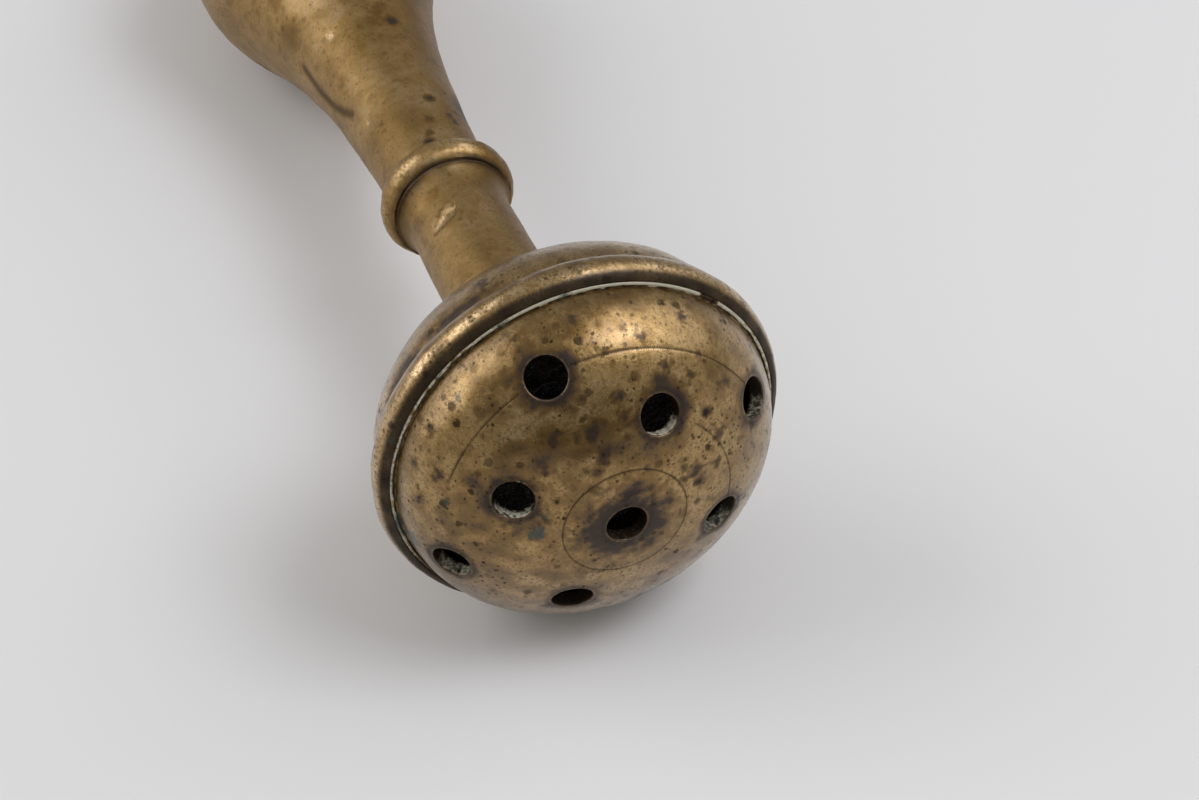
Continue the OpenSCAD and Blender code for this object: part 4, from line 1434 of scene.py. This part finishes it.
class ASPERGILLUM_OT_handle(Operator):
    """Handle: a hollow baluster between two rings, with a threaded socket at each end"""

    bl_idname = "aspergillum.handle"
    bl_label = "Handle"

    def execute(self, context):
        p = read_sizes()
        outside = handle_outline(p)
        cut = math.asin(p.ring_face / p.ring_rho)
        quarter = math.pi / 2
        low_ring = arc((p.ring_centre_r, p.z_end_ring), p.ring_rho, p.ring_rho, -cut, quarter, 28)
        top_ring = arc((p.ring_centre_r, p.z_ring), p.ring_rho, p.ring_rho, -quarter, cut, 28)
        socket_r = np.where(outside[:, 1] > p.z_bulb, p.tenon_socket_r, p.stud_socket_r)
        inside_r = np.maximum(outside[:, 0] - p.handle_wall, socket_r)
        inside = np.stack([inside_r, outside[:, 1]], 1)[::-1]
        tenon_from = p.z_tenon_thread + TENON_LEAD * p.stem_pitch
        stud_from = p.z_stud_thread + p.stem_pitch / 2
        tenon_run = p.tenon_thread_len - TENON_LEAD * p.stem_pitch
        stud_run = p.stud_thread_len - STUD_LEAD * p.stem_pitch
        tenon_low = tenon_from - p.stem_pitch
        stud_top = stud_from + stud_run + p.stem_pitch
        tenon_socket = [(p.tenon_socket_r, p.z_ring_top), (p.tenon_socket_r, tenon_low)]
        stud_socket = [(p.stud_socket_r, stud_top), (p.stud_socket_r, p.z_handle)]
        hollow = inside[(inside[:, 1] < tenon_low) & (inside[:, 1] > stud_top)][::HOLLOW_SKIP]
        outline = chain(
            dressed([(p.stud_socket_r, p.z_handle), low_ring[0]], 0.6 * MM, 0.7),
            dressed(low_ring, 0.3 * MM, lambda t: 0.7 * hump(t, 1, 0.07), lambda t: 0.8 * hump(t, 0.4, 0.25)),
            dressed(
                outside,
                0.68 * MM,
                lambda t: 0.85 * (hump(t, 0, 0.006) + hump(t, 1, 0.006)),
                lambda t: 0.3 * hump(t, 0.3, 0.12) + 0.05,
            ),
            dressed(
                top_ring,
                0.3 * MM,
                lambda t: 0.7 * hump(t, 0, 0.07) + 0.7 * smooth(t, 0.86, 1),
                lambda t: 0.85 * hump(t, 0.62, 0.25),
            ),
            dressed([top_ring[-1], (p.tenon_socket_r, p.z_ring_top)], 0.6 * MM, 0.85),
            dressed(tenon_socket, p.stem_pitch / SOCKET_ROWS, 0.5),
            dressed(hollow, 2 * MM, 0.6),
            dressed(stud_socket, p.stem_pitch / SOCKET_ROWS, 0.5)[:-1],
        )
        turned_out = int(np.argmax(outline[:, 1]))

        def on_handle(z, angle):
            return polar(np.interp(z * MM, outside[:, 1], outside[:, 0]), angle, z * MM)

        crease = [on_handle(z, angle) for z, angle in HANDLE_CREASE]

        def shift(base):
            r = radius_of(base)
            z = base[..., 2]
            outer = (row_of(base) <= turned_out) & (z > p.z_handle + 0.1 * MM)
            outer &= z < p.z_ring_top - 0.1 * MM
            tenon = ~outer & (np.abs(r - p.tenon_socket_r) < WELD) & (z > tenon_low)
            stud = ~outer & (np.abs(r - p.stud_socket_r) < WELD) & (z < stud_top)
            ridge = np.where(tenon, thread_ridge(base, p, p.stem_pitch, tenon_from, tenon_run), 0)
            ridge += np.where(stud, thread_ridge(base, p, p.stem_pitch, stud_from, stud_run), 0)
            pits = pocks(base, 260, 0.3 * MM, 0.8 * MM, 73)
            uneven = hand_worn(base, 71) + 0.05 * MM * waves(base, 24 * MM, 75) - 0.05 * MM * pits
            for z_mark, angle, size, channel, _ in HANDLE_MARKS:
                if channel == WEAR_AND_GLINT:
                    middle = on_handle(z_mark, angle)
                    uneven -= 0.14 * MM * hump(np.linalg.norm(base - middle, axis=-1), 0, 1.3 * size * MM)
            uneven -= 0.10 * MM * streak(base, crease, 1.2 * MM)
            on_ring = smooth(z, p.z_ring - p.ring_rho, p.z_ring - p.ring_rho + MM)
            on_ring = on_ring * 0.025 * MM * waves(base, 2.4 * MM, 77)
            return np.where(outer, uneven + on_ring - 0.06 * MM, 0) + ridge

        def weather(base, grime, wear):
            ragged = waves(base, 7 * MM, 79)
            layers = blank(base)
            # Painted shade in the handle's crease joins the grime here
            layers[GRIME_AND_SHADE] += np.maximum(patchy(grime, ragged), 0.55 * streak(base, crease, 0.9 * MM))
            layers[WEAR_AND_GLINT] += patchy(wear, ragged, 0.8, 0.4)
            layers[STAIN_AND_SHADE] += 0.3 * smooth(waves(base, 16 * MM, 81), 0.2, 2.2)
            # More painted shade along the crease, laid in as stain
            layers[STAIN_AND_SHADE] += 0.35 * streak(base, crease, 1.8 * MM)
            # Painted shade on the flank that faces away from the lights
            layers[STAIN_AND_SHADE] += FLANK_SHADE * sector(base, *HANDLE_SHADED_FLANK)
            # The wear marks among these lay painted glints
            for number, (z_mark, angle, size, channel, strength) in enumerate(HANDLE_MARKS):
                spread = strength * blot(base, on_handle(z_mark, angle), size * MM, 120 + number, 0.06)
                over(layers, channel, spread)
            low_ring_side = hump(base[..., 2], p.z_ring - 0.6 * p.ring_rho, 0.8 * MM)
            layers[GREEN] += 0.6 * low_ring_side * smooth(ragged, 0.6, 1.6)
            return weathered(base, *layers)

        piece = turned_piece("baluster_handle", outline, COLUMNS["handle"], shift, weather)
        seat(piece, handled_brass, "handle", "brass", "handle")
        return {"FINISHED"}


class ASPERGILLUM_OT_finial(Operator):
    """Finial: a ball with a flat end, a waist, a seating disc and a threaded stud"""

    bl_idname = "aspergillum.finial"
    bl_label = "Finial"

    def execute(self, context):
        p = read_sizes()
        ball_r = p.finial_d / 2
        ball_z = math.sqrt(ball_r**2 - (p.end_d / 2) ** 2)
        waist_at = math.acos(p.finial_neck_d / p.finial_d)
        cove_z = ball_z + ball_r * math.sin(waist_at)
        stud_r, top = p.stud_d / 2, p.finial_len + p.stud_len
        ball = arc((0, ball_z), ball_r, ball_r, -math.acos(p.end_d / p.finial_d), waist_at, 60)
        rise = p.finial_len - p.disc_t - cove_z
        cove = arc((p.seat_r, cove_z), p.seat_r - p.finial_neck_d / 2, rise, math.pi, math.pi / 2, 20)
        disc = [cove[-1], (p.seat_r, p.finial_len), (stud_r, p.finial_len)]
        rim = np.concatenate([[(0, 0), (p.end_d / 2, 0)], ball[3:4]])
        outline = chain(
            dressed(soften(rim, 0.4 * MM), 0.5 * MM, 0.15, lambda t: 0.2 + 0.8 * hump(t, 0.9, 0.1)),
            dressed(ball[3:], 0.4 * MM, lambda t: 0.6 * hump(t, 1, 0.03), lambda t: 0.7 * hump(t, 0.4, 0.25)),
            dressed(cove, 0.3 * MM, lambda t: 0.5 * hump(t, 0, 0.1)),
            dressed(soften(disc, 0.3 * MM), 0.3 * MM, lambda t: 0.6 * t, lambda t: 0.7 * hump(t, 0.1, 0.1)),
            dressed([(stud_r, p.finial_len), (stud_r, top - MM)], p.stem_pitch / THREAD_ROWS, 0.3, 0.3),
            dressed(soften([(stud_r, top - MM), (stud_r, top), (0, top)], 0.3 * MM), 0.5 * MM, 0.3),
        )

        def shift(base):
            r = radius_of(base)
            z = base[..., 2]
            shown = (z > 0.3 * MM) & (z < p.finial_len - 0.2 * MM)
            stud = (np.abs(r - stud_r) < WELD) & (z > p.finial_len)
            ridge = thread_ridge(base, p, p.stem_pitch, p.z_stud_thread, p.stud_thread_len)
            pits = pocks(base, 90, 0.25 * MM, 0.7 * MM, 93)
            uneven = hand_worn(base, 91) - 0.05 * MM * pits - 0.05 * MM
            return np.where(shown, uneven, 0) + np.where(stud, ridge, 0)

        def weather(base, grime, wear):
            ragged = waves(base, 5 * MM, 95)
            stain = 0.4 * smooth(waves(base, 9 * MM, 97), 0.0, 2.2)
            return weathered(base, patchy(grime, ragged), patchy(wear, ragged, 0.8, 0.4), 0, stain)

        piece = turned_piece("ball_finial", outline, COLUMNS["finial"], shift, weather, closed=False)
        seat(piece, handled_brass, "finial", "brass", "finial")
        return {"FINISHED"}


class ASPERGILLUM_OT_washers(Operator):
    """Washers: three flat leather rings with rounded, slightly uneven edges, each riding under its screw"""

    bl_idname = "aspergillum.washers"
    bl_label = "Leather washers"

    def execute(self, context):
        p = read_sizes()
        seat_r = p.seat_r - p.fit_gap
        rings = (
            ("dome", p.mouth_r + p.fit_gap / 2, p.flange_r - p.fit_gap / 2, p.z_bead),
            ("neck", p.tenon_socket_r, seat_r, p.z_ring_top),
            ("finial", p.stud_socket_r, seat_r, p.finial_len),
        )
        for number, (place, inner, outer, z) in enumerate(rings):
            low, high = z + p.seat_gap, z + p.washer_t - p.seat_gap
            middle = (low + high) / 2
            start = (inner, middle)
            corners = [start, (inner, low), (outer, low), (outer, high), (inner, high), start]
            outline = dressed(soften(corners, 0.22 * MM), 0.4 * MM)[:-1]

            def shift(base):
                return 0.012 * MM * (waves(base, 2.5 * MM, 150 + number) - 2.5)

            def weather(base, grime, wear):
                return weathered(base)

            piece = turned_piece(f"{place}_seal_ring", outline, COLUMNS["washer"], shift, weather)
            seat(piece, washer_leather, f"{place}_seal", "leather", f"{place}_washer")
        return {"FINISHED"}


class ASPERGILLUM_OT_sponge(Operator):
    """Sponge: a crowned pad with pores sunk into it, inside the space that the bowl and the dome leave"""

    bl_idname = "aspergillum.sponge"
    bl_label = "Sponge"

    def execute(self, context):
        p = read_sizes()
        bottom = p.z_nut_top + 2 * p.fit_gap
        side_r = p.skirt_bore_r - p.fit_gap
        below = p.cavity_r * math.sqrt(1 - ((p.z_bowl_arc - bottom) / p.cavity_rise) ** 2) - 2 * p.fit_gap
        foot_r = min(below, side_r)
        shoulder = bottom + p.sponge_h
        base_run = [(0, bottom), (foot_r, bottom), (side_r, bottom + p.sponge_h / 3), (side_r, shoulder)]
        outline = chain(
            dressed(soften(base_run, 1.2 * MM), 0.5 * MM),
            dressed(arc((0, shoulder), side_r, p.sponge_crown, 0, math.pi / 2, 60), 0.4 * MM),
        )

        def pores(base):
            pits = pocks(base, 420, 0.5 * MM, 1.6 * MM, 161)
            return np.clip(pits + 0.25 * smooth(waves(base, 1.8 * MM, 163), 0.2, 1.4), 0, 1)

        def shift(base):
            return -0.9 * MM * pores(base) - 0.12 * MM * (1 + waves(base, 3 * MM, 165).clip(-1, 1))

        def weather(base, grime, wear):
            # The pore depth goes into the grime channel as painted shade
            return weathered(base, pores(base))

        piece = turned_piece("sponge_pad", outline, COLUMNS["sponge"], shift, weather, closed=False)
        seat(piece, natural_sponge, "head", "sponge", "sponge")
        return {"FINISHED"}


class ASPERGILLUM_OT_nut(Operator):
    """Nut: the square nut inside the bowl keeps its own solid and takes the brass finish"""

    bl_idname = "aspergillum.nut"
    bl_label = "Square nut"

    def execute(self, context):
        nut = frame["nodes"]["neck_nut"].data
        nut.materials.clear()
        nut.materials.append(finish_of(old_brass))
        return {"FINISHED"}


# The soft lights: bearing and height in degrees, distance, width, depth, power in watts and tint
LAMPS = {
    "key": (56, 59, 0.75, 0.34, 0.34, 1.75, (1.0, 1.03, 1.14)),
    "right": (88, 42, 1.00, 0.80, 0.80, 2.2, (1.0, 1.02, 1.10)),
    "left": (-116, 32, 0.80, 0.60, 0.70, 2.6, (1.0, 1.02, 1.10)),
}
# Half the side of the floor, how far in mm its own pale glow starts and is full, and how strong it is
FLOOR_HALF = 3.0
GLOW_FROM, GLOW_FULL = 300, 900
GLOW = 0.85
# The room's grey, its darker side, how directions are weighed and where the one fades into the other
ROOM_GREY, ROOM_DARK = 0.38, 0.04
DARK_SIDE = Vector((1.0, -0.05, 0.0)).normalized()
DARK_WEIGHTS = (1.0, 0.8, 2.0)
DARK_FROM, DARK_FULL = 0.74, 0.97


def direction(azimuth, height):
    """The unit vector towards a bearing from +X and a height, both in radians."""
    level = math.cos(height)
    return Vector((level * math.cos(azimuth), level * math.sin(azimuth), math.sin(height)))


def add_softbox(name, aim, azimuth, height, distance, width, depth, watts, colour):
    """A rectangular soft light with a power and a tint, which looks at a point from some way off."""
    way = direction(math.radians(azimuth), math.radians(height))
    light = bpy.data.lights.new(name, "AREA")
    light.shape = "RECTANGLE"
    light.size = width
    light.size_y = depth
    light.energy = watts
    light.color = colour
    box = bpy.data.objects.new(name, light)
    box.location = aim + distance * way
    box.rotation_mode = "QUATERNION"
    box.rotation_quaternion = way.to_track_quat("Z", "Y")
    bpy.context.scene.collection.objects.link(box)


def add_camera(studio, head):
    """The camera, which stands so that the middle of the dome's foot falls on its pixel."""
    back = direction(studio.view_from, studio.view_height)
    right = Vector((0, 0, 1)).cross(back).normalized()
    up = back.cross(right)
    pixel = SENSOR / studio.lens / PICTURE[0] * studio.view_distance
    across = (studio.aim_x - PICTURE[0] / 2) * pixel
    down = (studio.aim_y - PICTURE[1] / 2) * pixel
    place = head + back * studio.view_distance - right * across + up * down
    lens = bpy.data.cameras.new("camera")
    lens.lens = studio.lens
    lens.sensor_width = SENSOR
    lens.clip_start = 0.01
    lens.clip_end = 20
    camera = bpy.data.objects.new("camera", lens)
    camera.matrix_world = Matrix.Translation(place) @ Matrix((right, up, back)).transposed().to_4x4()
    bpy.context.scene.collection.objects.link(camera)
    bpy.context.scene.camera = camera


def add_floor(studio):
    """A pale paper floor. Past the reach of the lights it shows its own colour, and sheds no light."""
    h = FLOOR_HALF
    ground = bpy.data.meshes.new("floor")
    ground.from_pydata([(-h, -h, 0), (h, -h, 0), (h, h, 0), (-h, h, 0)], [], [(0, 1, 2, 3)])
    floor = bpy.data.objects.new("floor", ground)
    bpy.context.scene.collection.objects.link(floor)
    paper = Finish("floor_paper")
    grain = paper.noise(paper.place(), 0.004, 2.0)
    darker = tuple(0.985 * v for v in studio.floor)
    shade = paper.blend(grain, opaque(studio.floor), opaque(darker))
    away = paper.node("VectorMath", {0: paper.place()}, operation="LENGTH").outputs["Value"]
    rays = paper.node("LightPath", {}).outputs
    seen = paper.calc("MAXIMUM", rays["Is Camera Ray"], rays["Is Glossy Ray"])
    seen = paper.calc("MAXIMUM", seen, rays["Is Transmission Ray"])
    glow = paper.calc("MULTIPLY", seen, paper.step(away, GLOW_FROM, GLOW_FULL))
    paper.fill(
        paper.shader,
        {
            "Base Color": paper.blend(glow, shade, opaque((0, 0, 0))),
            "Emission Color": opaque(v * light for v, light in zip(studio.floor, LIGHT_TINT)),
            "Emission Strength": paper.calc("MULTIPLY", glow, GLOW),
            "Roughness": 0.85,
            "Specular IOR Level": 0.15,
        },
    )
    ground.materials.append(paper.material)


def add_room():
    """A grey room with a darker side behind the camera."""
    world = bpy.data.worlds.new("room")
    bpy.context.scene.world = world
    world.use_nodes = True
    room = Nodes(world.node_tree)
    look = room.node("TexCoord", {}).outputs["Generated"]
    low = room.node("VectorMath", {0: look, 1: DARK_WEIGHTS}, operation="MULTIPLY").outputs["Vector"]
    level = room.node("VectorMath", {0: low}, operation="NORMALIZE").outputs["Vector"]
    toward = room.node("VectorMath", {0: level, 1: DARK_SIDE}, operation="DOT_PRODUCT").outputs["Value"]
    fade = {
        "Value": toward,
        "From Min": DARK_FROM,
        "From Max": DARK_FULL,
        "To Min": ROOM_GREY,
        "To Max": ROOM_DARK,
    }
    grey = room.node("MapRange", fade, interpolation_type="SMOOTHSTEP").outputs[0]
    room.fill(room.tree.nodes["Background"], {"Color": grey})


class ASPERGILLUM_OT_stage(Operator):
    """Stage: camera, pale floor, soft lights and a grey room with a darker side behind the camera"""

    bl_idname = "aspergillum.stage"
    bl_label = "Stage"

    def execute(self, context):
        studio = context.scene.aspergillum.studio
        head = FOOT + AXIS * read_sizes().z_dome
        add_camera(studio, head)
        add_floor(studio)
        for name, lamp in LAMPS.items():
            add_softbox(name, head, *lamp)
        add_room()
        context.scene.view_settings.view_transform = "Standard"
        return {"FINISHED"}


class ASPERGILLUM_PT_panel(Panel):
    """Sizes, colours and pieces of the aspergillum"""

    bl_idname = "ASPERGILLUM_PT_panel"
    bl_label = "Aspergillum"
    bl_space_type = "VIEW_3D"
    bl_region_type = "UI"
    bl_category = "Aspergillum"

    def draw(self, context):
        settings = context.scene.aspergillum
        for step in STEPS:
            self.layout.operator(step.bl_idname)
        for key in type(settings).__annotations__:
            box = self.layout.box()
            box.label(text=key.title())
            group = getattr(settings, key)
            for name in type(group).__annotations__:
                box.prop(group, name)


STEPS = (
    ASPERGILLUM_OT_stage,
    ASPERGILLUM_OT_dome,
    ASPERGILLUM_OT_bowl,
    ASPERGILLUM_OT_neck,
    ASPERGILLUM_OT_handle,
    ASPERGILLUM_OT_finial,
    ASPERGILLUM_OT_washers,
    ASPERGILLUM_OT_sponge,
    ASPERGILLUM_OT_nut,
)
GROUPS = (
    BowlSizes, DomeSizes, NeckSizes, HandleSizes, FinialSizes, ThreadSizes, SoftSizes, Finishes, Studio,
    AspergillumSettings,
)


def register():
    for item in (*GROUPS, *STEPS, ASPERGILLUM_PT_panel):
        bpy.utils.register_class(item)
    bpy.types.Scene.aspergillum = PointerProperty(type=AspergillumSettings)


def unregister():
    del bpy.types.Scene.aspergillum
    for item in reversed((*GROUPS, *STEPS, ASPERGILLUM_PT_panel)):
        bpy.utils.unregister_class(item)


def main():
    """Registers the add-on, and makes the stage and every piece."""
    register()
    for step in STEPS:
        group, name = step.bl_idname.split(".")
        getattr(getattr(bpy.ops, group), name)()


if __name__ == "__main__":
    main()
